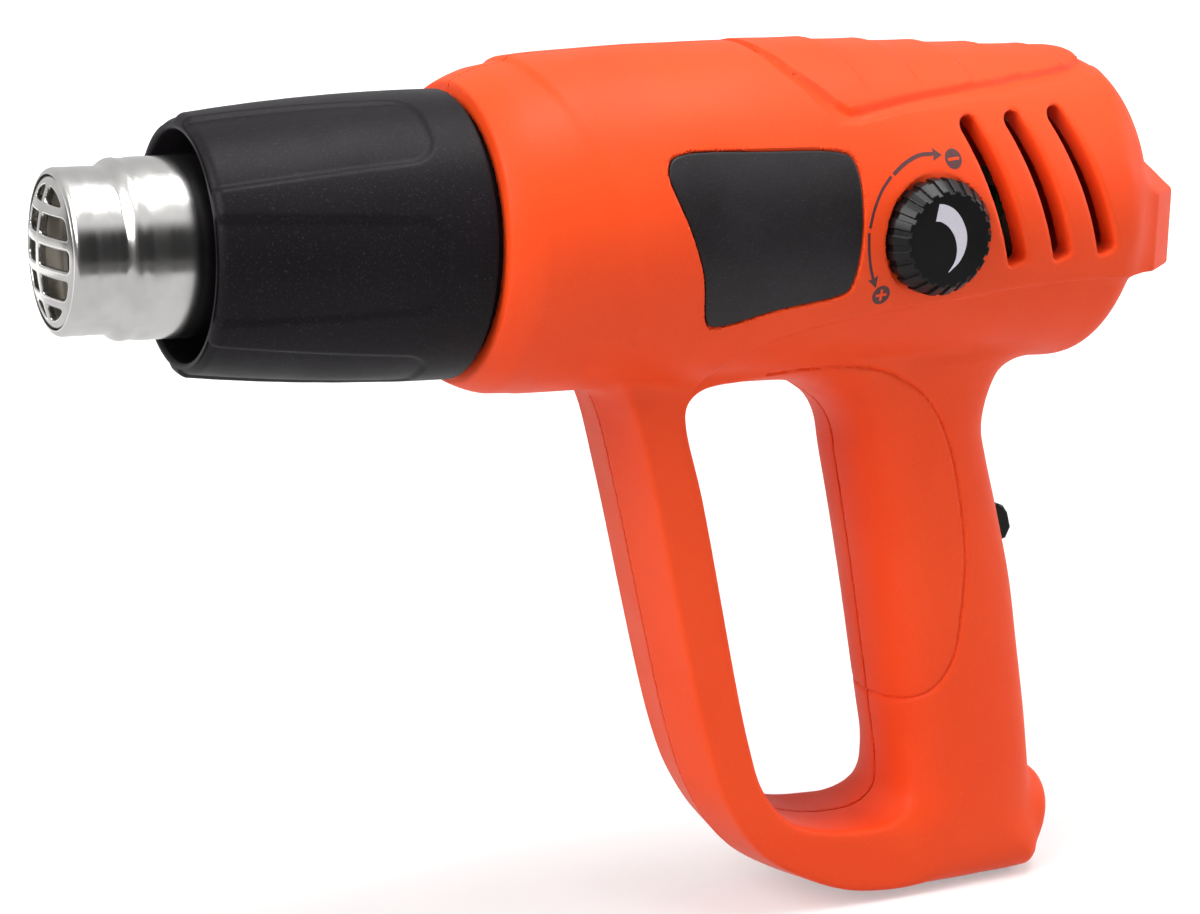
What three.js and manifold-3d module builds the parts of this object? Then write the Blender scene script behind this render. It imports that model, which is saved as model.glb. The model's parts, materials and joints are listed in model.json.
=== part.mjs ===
// Hot air tool with a closed D handle: a steel nozzle in a black guard, a moulded
// two-part housing, and the heater, fan, motor, dial and switch inside it.
//
// Millimetres, +Z up. The nozzle blows toward -X, the dial is on the -Y side.
// Every length below is measured from the barrel datum, a point on the axis of the
// nozzle just behind the guard. The finished group is moved so that the origin is
// the middle of the flat foot under the handle.
import * as THREE from 'three';
import { mergeVertices } from 'three/addons/utils/BufferGeometryUtils.js';
import Module from 'manifold-3d';

const wasm = await Module();
wasm.setup();

// Driving sizes: fits
const GAP = 0.3;
const WALL = 2.5;
const RUNNING_GAP = 1.0;

// Driving size: the parting line, just right of the middle of the foot
const SEAM_Y = 0.6;

// Driving sizes: the flat foot that the tool stands on
const FOOT_X = 122;
const FOOT_Z = -161.5;

// Driving size: where the guard meets the housing
const GUARD_EDGE_X = -10;

// Driving sizes: barrel stations as [x, half width, half height, height of the middle,
// how far the underside hangs below that]
const BARREL = [
  [GUARD_EDGE_X + GAP, 31.9, 31.9, 0.0, 0],
  [-8.2, 33.2, 33.1, 0.0, 0],
  [-2.5, 35.1, 34.9, 0.2, 0],
  [3.5, 36.1, 35.6, 0.9, 0],
  [5.5, 36.8, 36.1, 1.1, 0],
  [20, 37.5, 37.0, 1.8, 0],
  [40, 38.0, 37.8, 2.1, 0.3],
  [65, 38.2, 37.8, 2.1, 1.2],
  [92, 38.3, 37.1, 2.0, 1.8],
  [118, 37.6, 36.2, 1.9, 1.9],
  [137, 36.6, 35.5, 1.8, 2.0],
  [146, 35.8, 34.9, 2.2, 2.8],
  [150.5, 32.8, 32.2, 2.5, 2.8],
  [153.6, 29.0, 28.4, 2.6, 2.4],
  [156, 23.4, 22.8, 2.6, 1.6],
  [157.6, 15.6, 15.0, 2.6, 0.8],
  [158.3, 7.0, 6.6, 2.6, 0],
];
const BARREL_SIDES = 32;
const HOLLOW_SIDES = 16;
const NECK_BORE_R = 28.3;

// Driving sizes: handle stations as [outer x, outer z, inner x, inner z, half width]
const GRIP = [
  [146, -25.5, 72, -31, 19.0],
  [136.6, -31.2, 78, -37.6, 21.6],
  [131.8, -34.0, 81.6, -39.6, 21.2],
  [128.5, -37.6, 85.0, -42.0, 20.6],
  [126.3, -42.6, 88.0, -45.4, 20.0],
  [125.4, -48.5, 90.0, -49.5, 19.6],
  [127.0, -55, 91.2, -55.5, 19.3],
  [131.2, -68, 94.0, -68, 18.8],
  [136.5, -86, 98.0, -87, 18.4],
  [140.2, -104, 101.5, -105, 18.0],
  [143.5, -120, 104.4, -120, 17.4],
  [145.8, -133, 106.0, -132, 16.8],
  [147.8, -144, 102.4, -140.8, 16.4],
  [148.8, -154, 97.5, -149, 16.0],
  [148.2, -158.5, 96.0, -158.5, 15.4],
  [145.0, -161.5, 99.0, -161.5, 12.5],
];
const GRIP_SIDES = 20;
const GRIP_POWER = 2.5;
const FRONT_BAR = [
  [22.5, -26, 60, -32, 16.5],
  [26.0, -34, 50, -36.4, 15.8],
  [28.0, -39, 46.0, -39.6, 15.5],
  [29.7, -43, 46.2, -43.6, 15.4],
  [34.3, -60, 50.4, -59.4, 15.4],
  [50.2, -120, 64.7, -118, 15.4],
  [56.5, -134, 69.2, -130, 15.4],
  [66.4, -147, 75.9, -138, 15.4],
  [79.0, -155.2, 84.5, -142, 15.4],
  [91.0, -159.8, 94.0, -143.5, 15.4],
  [104.0, -161.5, 104.0, -143.6, 15.4],
  [117.0, -161.5, 116.0, -142.5, 15.2],
];
const FRONT_BAR_SIDES = 16;
const BAR_HOLLOW_SIDES = 10;
const FRONT_BAR_POWER = 3.6;

// Driving sizes: stand block round the back of the barrel, as [x, half width, height of
// the side's top edge, height of the flat ridge]
const STAND = [
  [130, 30, 18.0, 20.0],
  [144.7, 33, 12.0, 16.6],
  [156.6, 29.4, 7.0, 15.0],
  [167.6, 20, 6.2, 6.3],
];
const STAND_BOTTOM_Z = -11.6;
const STAND_RIDGE = 19;

// Driving sizes: cord boss low on the back of the grip, pointing slightly down
const BOSS_X = 138;
const BOSS_Z = -147.0;
const BOSS_TILT = 8;
const BOSS_R = 10.6;
const BOSS_LENGTH = 13.8;
const BOSS_ROUND = 3.6;
const GLAND_R = 6.0;
const GLAND_BORE_R = 3.6;
const GLAND_LENGTH = 12;
const GLAND_FLANGE_R = 7.6;
const GLAND_FLANGE = 2.0;

// Driving sizes: lower edge of the raised side band, as [x, z] from back to front
const BAND_EDGE = [[174, -11.4], [148, -11.8], [128, -11.8], [112, -12.8], [95, -14.8],
  [80, -16.4], [66, -18.8], [54, -22.8], [48, -27.5], [44.5, -35]];
const BAND_STEP = 0.9;

// Driving sizes: raised chevron panel on the back, as [x, y]
const CHEVRON = [[61.5, 0], [62.5, 11], [66.5, 20], [74, 27.2], [84, 25.2], [104, 20.4],
  [124, 15.6], [143.5, 9.2], [145.5, 0]];
const CHEVRON_STEP = 0.9;
const RIB_COUNT = 4;
const RIB_FIRST_X = 82;
const RIB_PITCH = 16.5;
const RIB_SWEEP = 11;
const RIB_WIDTH = 1.2;
const RIB_DEPTH = 0.6;

// Driving sizes: name plate recess in the left side, as [x, z]
const PLATE_OUTLINE = [[26.4, 15.5], [27.4, 18.6], [30.6, 19.9], [50, 20.0], [68, 19.4], [71, 18.4],
  [72.2, 15.6], [72.6, 4], [71.8, -8], [70.8, -10.8], [68, -12.0], [54, -14.4], [41, -17.6],
  [38.2, -17.2], [36.6, -14.6], [34.2, -5], [31, 3.5]];
const PLATE_RECESS = 0.9;
const PLATE_THICKNESS = 0.5;

// Driving sizes: air slots, three on each side
const SLOT_COUNT = 3;
const SLOT_X = 108.2;
const SLOT_Z = 9.3;
const SLOT_PITCH = 12.3;
const SLOT_RISE = 0.65;
const SLOT_LENGTH = 33.6;
const SLOT_WIDTH = 4.5;
const SLOT_LEAN = 20;

// Driving sizes: black guard
const GUARD_MOUTH_X = -68.5;
const GUARD_MOUTH_R = 27.0;
const GUARD_EDGE_R = 30.8;
const GUARD_SWELL = 0.9;
const GUARD_LIP = 2.6;
const GUARD_BORE_R = 23.8;
const GUARD_SPIGOT_WALL = 3.4;
const GUARD_SPIGOT_END = 0.6;
const GUARD_SIDES = 32;
const PANEL_COUNT = 6;
const PANEL_MOUTH_ANGLE = 48;
const PANEL_BACK_ANGLE = 35;
const PANEL_BACK_X = -20.5;
const PANEL_CORNER = 6;
const PANEL_TURN = 3.4;
const PANEL_DEPTH = 0.8;

// Driving sizes: steel nozzle and its grille
const NOZZLE_FRONT_X = -94.6;
const NOZZLE_R = 17.0;
const NOZZLE_STEP_X = -84.2;
const NOZZLE_STEP = 1.6;
const NOZZLE_STEP_LENGTH = 2.2;
const NOZZLE_BEAD = 0.35;
const NOZZLE_WALL = 0.8;
const NOZZLE_LIP = 1.4;
const FLANGE_R = 25.6;
const FLANGE = 1.2;
const NOZZLE_SIDES = 28;
const GRILLE_DOME = 3.0;
const GRILLE_THICKNESS = 0.9;
const GRILLE_RIM = 1.4;
const GRILLE_ROWS = 5;
const GRILLE_PITCH = 6.1;
const GRILLE_BAR = 1.6;

// Driving sizes: heater
const MICA_WALL = 1.2;
const MICA_FRONT_X = -86;
const COIL_WIRE_R = 0.8;
const COIL_LOOPS = 8;
const COIL_STEPS = 12;
const COIL_START_X = -76;
const COIL_END_X = -18;
const CORE_FRONT_X = -82;
const CORE_DISC = 3;
const CORE_DISC_X = -6;
const CORE_FIN = 2.4;

// Driving sizes: fan, duct and motor
const RING_SIDES = 24;
const BULKHEAD = 2.4;
const DUCT_NECK_R = 20.7;
const DUCT_NECK_END = 8;
const DUCT_CLEARANCE = 0.4;
const DUCT_CONE_END = 37;
const DUCT_WALL = 1.5;
const MOUNT_X = 66;
const MOUNT_WIDTH = 4.6;
const MOUNT_BEHIND = 30;
const MOUNT_RING = 3.4;
const MOUNT_SPOKES = 5;
const SPOKE = 2.4;
const RIB = 2.0;
const MOTOR_R = 17.5;
const MOTOR_LENGTH = 36;
const MOTOR_WALL = 1.4;
const MOTOR_CUP = 12;
const CUP_WALL = 2.0;
const CAP_LENGTH = 5;
const SHAFT_R = 1.6;
const FAN_FRONT_X = 50;
const FAN_LENGTH = 12;
const FAN_HUB_R = 7;
const FAN_BLADES = 7;
const BLADE = 1.6;
const BLADE_TWIST = 38;

// Driving sizes: dial, its regulator and the circuit board
const DIAL_X = 91.4;
const DIAL_Z = 0.6;
const DIAL_R = 12.4;
const DIAL_FACE_R = 10.2;
const DIAL_HEIGHT = 6.4;
const DIAL_SIDE = 2.8;
const DIAL_TEETH = 22;
const DIAL_NOTCH = 0.9;
const DIAL_RECESS_R = 13.3;
const DIAL_FLOOR_Y = -36.2;
const DIAL_SHAFT_R = 3.0;
const PAD = 3.4;
const REGULATOR = 15;
const REGULATOR_DEPTH = 8;
const BOARD = 1.6;
const BOARD_X0 = 77;
const BOARD_X1 = 123;
const BOARD_Z0 = -16;
const BOARD_Z1 = 13.5;
const POST_R = 3.0;
const BOARD_POSTS = [[80, -13], [119, -13]];

// Driving sizes: slide switch in the back of the grip, on a frame that leans with it
const SWITCH_X = 133.3;
const SWITCH_Z = -75;
const SWITCH_LEAN = 16;
const BUTTON_HEIGHT = 9;
const BUTTON_WIDTH = 11;
const BUTTON_PROUD = 4.4;
const BUTTON_TRAVEL = 8;
const NECK_WIDTH = 4.4;
const NECK_HEIGHT = 4;
const POCKET_DEPTH = 1.4;
const SWITCH_DEPTH = 14;
const SWITCH_WIDTH = 14;
const SWITCH_LENGTH = 28;

// Driving sizes: screws, as [x, z] of each boss between the two halves
const BOSSES = [[16, 30.5], [16, -29.5], [139, 24], [134, -23], [124, -104], [112, -153.6], [38.2, -52]];
const BOSS_POST_R = 4.8;
const SCREW_HEAD_R = 3.0;
const SCREW_HEAD = 2.2;
const SCREW_SHANK_R = 1.5;
const SCREW_SEAT_Y = 9;
const SCREW_REACH = 9;

// Driving sizes: cord clamp and terminal block in the foot of the grip
const CLAMP_X = 127;
const CLAMP_Z = -140;
const CLAMP_SPAN = 15;
const CLAMP_WIDTH = 7;
const CLAMP_THICKNESS = 3;
const CLAMP_Y = -1.5;
const CLAMP_SCREW_R = 1.1;
const CLAMP_HEAD_R = 2.2;
const TERMINAL_X = 121.5;
const TERMINAL_Z = -121;
const TERMINAL_SIZE = [20, 8, 11];

const radians = THREE.MathUtils.degToRad;

// Closed solids from geometry

function solid(geometry) {
  const bare = geometry.clone();
  bare.deleteAttribute('normal');
  bare.deleteAttribute('uv');
  const merged = mergeVertices(bare, 1e-4);
  const points = merged.attributes.position.array;
  const index = merged.index.array;
  const triangles = [];
  let volume = 0;
  for (let i = 0; i < index.length; i += 3) {
    const [a, b, c] = [index[i], index[i + 1], index[i + 2]];
    if (a === b || b === c || a === c) continue;
    triangles.push(a, b, c);
    const [p, q, r] = [a, b, c].map((k) => new THREE.Vector3().fromArray(points, k * 3));
    volume += p.dot(q.cross(r));
  }
  if (volume < 0) {
    triangles.reverse();
  }
  const mesh = new wasm.Mesh({
    numProp: 3,
    vertProperties: new Float32Array(points),
    triVerts: new Uint32Array(triangles),
  });
  return new wasm.Manifold(mesh);
}

function joined(first, ...others) {
  return others.reduce((sum, next) => sum.add(next), first);
}

function cutBy(first, ...others) {
  return others.reduce((rest, next) => rest.subtract(next), first);
}

// A solid turned about the X axis from a closed outline of [x, radius] points
function turned(outline, sides) {
  const points = outline.map(([x, r]) => new THREE.Vector2(r, x));
  points.push(points[0].clone());
  const geometry = new THREE.LatheGeometry(points, sides);
  geometry.rotateZ(-Math.PI / 2);
  return solid(geometry);
}

// An [x, z] outline carried along Y
function sidePrism(outline, y0, y1) {
  const shape = new THREE.Shape(outline.map(([x, z]) => new THREE.Vector2(x, z)));
  const geometry = new THREE.ExtrudeGeometry(shape, { depth: y1 - y0, bevelEnabled: false });
  geometry.rotateX(Math.PI / 2);
  geometry.translate(0, y1, 0);
  return solid(geometry);
}

// An [x, y] outline carried along Z
function planPrism(outline, z0, z1) {
  const shape = new THREE.Shape(outline.map(([x, y]) => new THREE.Vector2(x, y)));
  const geometry = new THREE.ExtrudeGeometry(shape, { depth: z1 - z0, bevelEnabled: false });
  geometry.translate(0, 0, z0);
  return solid(geometry);
}

function block(x0, x1, y0, y1, z0, z1) {
  const geometry = new THREE.BoxGeometry(x1 - x0, y1 - y0, z1 - z0);
  geometry.translate((x0 + x1) / 2, (y0 + y1) / 2, (z0 + z1) / 2);
  return solid(geometry);
}

// A round bar or cone between two points
function rod(from, to, r0, r1 = r0, sides = 20) {
  const start = new THREE.Vector3(...from);
  const way = new THREE.Vector3(...to).sub(start);
  const geometry = new THREE.CylinderGeometry(r1, r0, way.length(), sides);
  const turn = new THREE.Quaternion().setFromUnitVectors(new THREE.Vector3(0, 1, 0), way.clone().normalize());
  geometry.applyQuaternion(turn);
  geometry.translate(...start.addScaledVector(way, 0.5).toArray());
  return solid(geometry);
}

// A round bar along Y at a place on the side view
function peg(x, z, y0, y1, r, sides) {
  return rod([x, y0, z], [x, y1, z], r, r, sides);
}

function moved(shape, matrix) {
  const mesh = shape.getMesh();
  const geometry = new THREE.BufferGeometry();
  geometry.setAttribute('position', new THREE.BufferAttribute(new Float32Array(mesh.vertProperties), 3));
  geometry.setIndex([...mesh.triVerts]);
  geometry.applyMatrix4(matrix);
  return solid(geometry);
}

// A skin over rings of equal point counts, with flat ends
function loft(rings) {
  const count = rings[0].length;
  const last = (rings.length - 1) * count;
  const triangles = [];
  for (let start = 0; start < last; start += count) {
    for (let i = 0; i < count; i += 1) {
      const a = start + i;
      const b = start + ((i + 1) % count);
      triangles.push(a, b, b + count, a, b + count, a + count);
    }
  }
  for (let i = 1; i + 1 < count; i += 1) {
    triangles.push(0, i + 1, i, last, last + i, last + i + 1);
  }
  const geometry = new THREE.BufferGeometry();
  const positions = rings.flat().flatMap((point) => point.toArray());
  geometry.setAttribute('position', new THREE.Float32BufferAttribute(positions, 3));
  geometry.setIndex(triangles);
  return solid(geometry);
}

// A rounded ring: power 2 is an ellipse, a higher power is squarer
function roundedRing(middle, across, along, power, sides) {
  const ring = [];
  for (let i = 0; i < sides; i += 1) {
    const angle = ((i + 0.5) / sides) * 2 * Math.PI;
    const c = Math.cos(angle);
    const s = Math.sin(angle);
    const u = Math.sign(c) * Math.abs(c) ** (2 / power);
    const v = Math.sign(s) * Math.abs(s) ** (2 / power);
    ring.push(middle.clone().addScaledVector(across, u).addScaledVector(along, v));
  }
  return ring;
}

// The barrel's outer form, drawn in by an inset all round; hang lowers its underside
function barrel(inset, stations = BARREL, sides = BARREL_SIDES, hang = 0) {
  const rings = stations.map(([x, halfWidth, halfHeight, middle, drop]) => roundedRing(
    new THREE.Vector3(x, 0, middle - (hang * drop) / 2),
    new THREE.Vector3(0, halfWidth - inset, 0),
    new THREE.Vector3(0, 0, halfHeight - inset + (hang * drop) / 2),
    2,
    sides,
  ));
  return loft(rings);
}

// A handle bar from stations of its outer edge, inner edge and half width
function bar(stations, power, sides, inset) {
  const rings = stations.map(([outerX, outerZ, innerX, innerZ, halfWidth]) => {
    const outer = new THREE.Vector3(outerX, 0, outerZ);
    const inner = new THREE.Vector3(innerX, 0, innerZ);
    const middle = outer.clone().add(inner).multiplyScalar(0.5);
    const depth = outer.clone().sub(middle);
    depth.setLength(depth.length() - inset);
    return roundedRing(middle, depth, new THREE.Vector3(0, halfWidth - inset, 0), power, sides);
  });
  return loft(rings);
}

function arcPoints(x, z, r, start, end, steps) {
  const points = [];
  for (let i = 0; i <= steps; i += 1) {
    const angle = radians(start + ((end - start) * i) / steps);
    points.push([x + r * Math.cos(angle), z + r * Math.sin(angle)]);
  }
  return points;
}

function shrunk(outline, inset) {
  const box = outline.reduce(
    ([x0, x1, z0, z1], [x, z]) => [Math.min(x0, x), Math.max(x1, x), Math.min(z0, z), Math.max(z1, z)],
    [Infinity, -Infinity, Infinity, -Infinity],
  );
  const [x0, x1, z0, z1] = box;
  const [cx, cz] = [(x0 + x1) / 2, (z0 + z1) / 2];
  const sx = 1 - (2 * inset) / (x1 - x0);
  const sz = 1 - (2 * inset) / (z1 - z0);
  return outline.map(([x, z]) => [cx + (x - cx) * sx, cz + (z - cz) * sz]);
}

// The tool: every piece in one group

const tool = new THREE.Group();
tool.position.set(-FOOT_X, 0, -FOOT_Z);

function piece(name, shape, material) {
  const source = shape.getMesh();
  const geometry = new THREE.BufferGeometry();
  geometry.setAttribute('position', new THREE.BufferAttribute(new Float32Array(source.vertProperties), 3));
  geometry.setIndex([...source.triVerts]);
  geometry.computeVertexNormals();
  const mesh = new THREE.Mesh(geometry, material);
  mesh.name = name;
  tool.add(mesh);
  return mesh;
}

function finish(color, roughness, metalness) {
  return () => new THREE.MeshStandardMaterial({ color, roughness, metalness });
}

const orangePlastic = finish(0xf4521f, 0.55, 0);
const blackPlastic = finish(0x242325, 0.5, 0);
const greyPlastic = finish(0x9a9c9e, 0.6, 0);
const steel = finish(0xc9c8c6, 0.22, 1);
const darkSteel = finish(0x6f7072, 0.4, 1);
const mica = finish(0xb9a98a, 0.7, 0);
const ceramic = finish(0xe6e1d6, 0.85, 0);
const wire = finish(0x7d7468, 0.5, 1);
const boardGreen = finish(0x2f6b45, 0.6, 0);
const rubber = finish(0x1b1b1c, 0.85, 0);

// Outer form of the closed housing

// Beyond every outer form
const FAR = 200;
const HIGH = 80;

// The stations that a span of the barrel needs, with some to spare at each end
function stationsFor(x0, x1) {
  return BARREL.filter(([x]) => x > x0 - 30 && x < x1 + 6);
}

const panelStations = stationsFor(CHEVRON[0][0], CHEVRON.at(-1)[0]);
const plateStations = stationsFor(PLATE_OUTLINE[0][0], 90);

function bandPrism() {
  const outline = [...BAND_EDGE, [BAND_EDGE.at(-1)[0], -HIGH], [FAR, -HIGH], [FAR, BAND_EDGE[0][1]]];
  return sidePrism(outline, -HIGH, HIGH);
}

function standBlock() {
  const rings = STAND.map(([x, halfWidth, sideZ, ridgeZ]) => [
    [-halfWidth, STAND_BOTTOM_Z], [halfWidth, STAND_BOTTOM_Z], [halfWidth, sideZ],
    [STAND_RIDGE, ridgeZ], [-STAND_RIDGE, ridgeZ], [-halfWidth, sideZ],
  ].map(([y, z]) => new THREE.Vector3(x, y, z)));
  return loft(rings);
}

function chevronPanel() {
  const outline = [...CHEVRON, ...CHEVRON.slice(1, -1).map(([x, y]) => [x, -y]).reverse()];
  const prism = planPrism(outline, 0, HIGH);
  const grooves = [];
  const floor = barrel(RIB_DEPTH - CHEVRON_STEP, panelStations);
  for (let i = 0; i < RIB_COUNT; i += 1) {
    const x = RIB_FIRST_X + i * RIB_PITCH;
    const near = [[x, 0], [x + RIB_WIDTH, 0], [x + RIB_WIDTH - RIB_SWEEP, HIGH / 2], [x - RIB_SWEEP, HIGH / 2]];
    const far = near.map(([a, b]) => [a, -b]);
    grooves.push(planPrism(near, 0, HIGH).add(planPrism(far, 0, HIGH)).subtract(floor));
  }
  return cutBy(barrel(-CHEVRON_STEP, panelStations).intersect(prism), ...grooves);
}

const bossAxis = new THREE.Vector3(Math.cos(radians(BOSS_TILT)), 0, -Math.sin(radians(BOSS_TILT)));

function onBossAxis(distance) {
  return [BOSS_X + bossAxis.x * distance, 0, BOSS_Z + bossAxis.z * distance];
}

function cordBoss(inset) {
  const straight = BOSS_LENGTH - BOSS_ROUND;
  const straightPart = rod(onBossAxis(-6), onBossAxis(straight - inset), BOSS_R - inset, BOSS_R - inset, 20);
  if (inset) return straightPart;
  const rounding = [];
  for (let i = 0; i <= 2; i += 1) {
    const angle = radians(i * 38);
    rounding.push([straight + BOSS_ROUND * Math.sin(angle), BOSS_R - BOSS_ROUND * (1 - Math.cos(angle))]);
  }
  return rounding.slice(1).reduce((sum, [d, r], i) => {
    const [d0, r0] = rounding[i];
    return sum.add(rod(onBossAxis(d0 - 0.01), onBossAxis(d), r0, r, 20));
  }, straightPart);
}

function outerForm() {
  return joined(
    barrel(0).subtract(bandPrism()),
    barrel(BAND_STEP, BARREL, BARREL_SIDES, 1),
    chevronPanel(),
    standBlock(),
    bar(GRIP, GRIP_POWER, GRIP_SIDES, 0),
    bar(FRONT_BAR, FRONT_BAR_POWER, FRONT_BAR_SIDES, 0),
    cordBoss(0),
  );
}

// Hollow of the closed housing, a wall's thickness inside its outer form

const hollowStations = BARREL.filter(([x], i) => x > 3 && (x < 21 || x > CHEVRON.at(-2)[0] || i % 2 === 0));

// The barrel's hollow, set forward at the back so that the end keeps its wall
function hollowBarrel(wall) {
  const step = BAND_STEP + wall;
  const stations = hollowStations.map(([x, ...sizes]) => [x > CHEVRON.at(-2)[0] ? x - step : x, ...sizes]);
  return barrel(step, stations, HOLLOW_SIDES);
}

// The stand block's hollow, open to the barrel's
function hollowStand(wall) {
  const [rearX, halfWidth, topZ] = STAND.at(-1);
  const halfY = halfWidth - wall;
  return block(STAND[0][0], rearX - wall, -halfY, halfY, STAND_BOTTOM_Z + wall, topZ - wall);
}

function hollowForm(wall) {
  const foot = GRIP.at(-2);
  const footHollow = [foot[0], FOOT_Z + wall, foot[2], FOOT_Z + wall, foot[4]];
  return joined(
    hollowBarrel(wall),
    hollowStand(wall),
    bar([...GRIP.slice(0, -2), footHollow], GRIP_POWER, BAR_HOLLOW_SIDES, wall),
    bar(FRONT_BAR, FRONT_BAR_POWER, BAR_HOLLOW_SIDES, wall),
    cordBoss(wall),
  );
}

// Switch frame: local X points out of the grip's back, local Z up along the grip

const switchFrame = new THREE.Matrix4()
  .makeTranslation(SWITCH_X, 0, SWITCH_Z)
  .multiply(new THREE.Matrix4().makeRotationY(-radians(SWITCH_LEAN)));

function inSwitchFrame(shape) {
  return moved(shape, switchFrame);
}

const buttonLow = -BUTTON_HEIGHT / 2;
const buttonHigh = BUTTON_HEIGHT / 2 + BUTTON_TRAVEL;
const switchMiddle = BUTTON_TRAVEL / 2;
const switchFront = -WALL - 2 * GAP;
const switchBack = switchFront - SWITCH_DEPTH;

function switchPocket() {
  const capHalf = BUTTON_WIDTH / 2 + GAP;
  const pocket = block(-POCKET_DEPTH, 9, -capHalf, capHalf, buttonLow - GAP, buttonHigh + GAP);
  const low = -NECK_HEIGHT / 2 - GAP;
  const high = NECK_HEIGHT / 2 + BUTTON_TRAVEL + GAP;
  const narrow = NECK_WIDTH / 2 + GAP;
  const passage = block(-9, 0, -narrow, narrow, low, high);
  const half = SWITCH_LENGTH / 2 + GAP;
  const wide = SWITCH_WIDTH / 2 + GAP;
  const [spaceLow, spaceHigh] = [switchMiddle - half, switchMiddle + half];
  const space = block(switchBack - GAP, switchFront + GAP, -wide, wide, spaceLow, spaceHigh);
  return inSwitchFrame(joined(pocket, passage, space));
}

function switchShelves() {
  const half = SWITCH_LENGTH / 2 + GAP;
  const deep = switchBack - GAP;
  const low = block(deep, 3, -30, 30, switchMiddle - half - RIB, switchMiddle - half);
  const high = block(deep, 3, -30, 30, switchMiddle + half, switchMiddle + half + RIB);
  return inSwitchFrame(low.add(high));
}

// The widest round that the hollow barrel takes from the duct's cone to behind the motor mount
const ductStations = BARREL.filter(([x]) => x > DUCT_CONE_END && x < MOUNT_X + MOUNT_BEHIND);
const ductR = Math.min(...ductStations.map(([, , halfHeight, middle]) => (
  (halfHeight - BAND_STEP - WALL) * Math.cos(Math.PI / HOLLOW_SIDES) - middle - DUCT_CLEARANCE
)));

// Inner ribs, bosses and posts of the housing

function ringRib(x, width, r) {
  return turned([[x, r], [x + width, r], [x + width, 60], [x, 60]], RING_SIDES);
}

const bulkheadX = GUARD_SPIGOT_END + GAP + FLANGE + GAP;
const mountBackX = MOUNT_X + MOUNT_WIDTH;
const padInnerY = DIAL_FLOOR_Y + PAD;
const regulatorBackY = padInnerY + GAP + REGULATOR_DEPTH;
const boardFrontY = regulatorBackY + GAP;

function innerRibs() {
  return joined(
    ringRib(bulkheadX, BULKHEAD, DUCT_NECK_R + GAP),
    ringRib(MOUNT_X - GAP - RIB, RIB, ductR + GAP),
    ringRib(mountBackX + GAP, RIB, ductR - RIB),
    switchShelves(),
  );
}

function leftPosts() {
  const wallY = -60;
  const posts = BOARD_POSTS.map(([x, z]) => peg(x, z, wallY, boardFrontY - GAP, POST_R, 10));
  const pad = peg(DIAL_X, DIAL_Z, wallY, padInnerY, DIAL_RECESS_R + WALL, 20);
  const clampTop = CLAMP_Y - CLAMP_THICKNESS - GAP;
  const clampPosts = [-1, 1].map((side) => {
    const x = CLAMP_X + (side * CLAMP_SPAN) / 2;
    const post = peg(x, CLAMP_Z, wallY, clampTop, POST_R, 10);
    return post.subtract(peg(x, CLAMP_Z, clampTop - 6, 0, CLAMP_SCREW_R + GAP, 8));
  });
  const terminalBack = CLAMP_Y - TERMINAL_SIZE[1] - GAP;
  const terminalPost = peg(TERMINAL_X, TERMINAL_Z, wallY, terminalBack, POST_R, 10);
  return joined(pad, ...posts, ...clampPosts, terminalPost);
}

function screwBosses(side) {
  return BOSSES.map(([x, z]) => peg(x, z, 0, side * 60, BOSS_POST_R, 10));
}

function screwHoles(side) {
  const holeR = SCREW_SHANK_R + GAP;
  if (side < 0) {
    return BOSSES.map(([x, z]) => peg(x, z, 1, -SCREW_REACH - 1, holeR, 8));
  }
  const headR = SCREW_HEAD_R + GAP;
  return BOSSES.map(([x, z]) => peg(x, z, -1, SCREW_SEAT_Y + 1, holeR, 8)
    .add(peg(x, z, SCREW_SEAT_Y, 60, headR, 12)));
}

// Cuts through the housing's wall

function airSlots(side) {
  const cuts = [];
  for (let i = 0; i < SLOT_COUNT; i += 1) {
    const half = SLOT_LENGTH / 2 - SLOT_WIDTH / 2;
    const r = SLOT_WIDTH / 2;
    const outline = [...arcPoints(0, half, r, 0, 180, 4), ...arcPoints(0, -half, r, 180, 360, 4)];
    const lean = radians(SLOT_LEAN);
    const placed = outline.map(([x, z]) => [
      SLOT_X + i * SLOT_PITCH + x * Math.cos(lean) - z * Math.sin(lean),
      SLOT_Z + i * SLOT_RISE + x * Math.sin(lean) + z * Math.cos(lean),
    ]);
    cuts.push(side < 0 ? sidePrism(placed, -60, -18) : sidePrism(placed, 18, 60));
  }
  return cuts;
}

function dialCuts() {
  const recess = peg(DIAL_X, DIAL_Z, -60, DIAL_FLOOR_Y, DIAL_RECESS_R, 32);
  const holeR = DIAL_SHAFT_R + 2 * GAP;
  return recess.add(peg(DIAL_X, DIAL_Z, -60, padInnerY + 1, holeR, 12));
}

function plateRecess() {
  return sidePrism(PLATE_OUTLINE, -60, -20).subtract(barrel(PLATE_RECESS, plateStations));
}

function neckCuts() {
  const neckEnd = GUARD_SPIGOT_END + GAP;
  const bore = turned([[-40, 0], [-40, NECK_BORE_R], [neckEnd, NECK_BORE_R], [bulkheadX, FLANGE_R + GAP],
    [bulkheadX, 0]], GUARD_SIDES);
  const throat = turned([[-40, 0], [-40, DUCT_NECK_R + GAP], [bulkheadX + BULKHEAD + 1, DUCT_NECK_R + GAP],
    [bulkheadX + BULKHEAD + 1, 0]], RING_SIDES);
  return bore.add(throat);
}

function glandCut() {
  const flangeStart = BOSS_LENGTH - GLAND_LENGTH;
  const hole = rod(onBossAxis(-4), onBossAxis(BOSS_LENGTH + 5), GLAND_R + GAP, GLAND_R + GAP, 16);
  const seatR = GLAND_FLANGE_R + GAP;
  const seat = rod(onBossAxis(-4), onBossAxis(flangeStart + GLAND_FLANGE + GAP), seatR, seatR, 16);
  return hole.add(seat);
}

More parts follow.
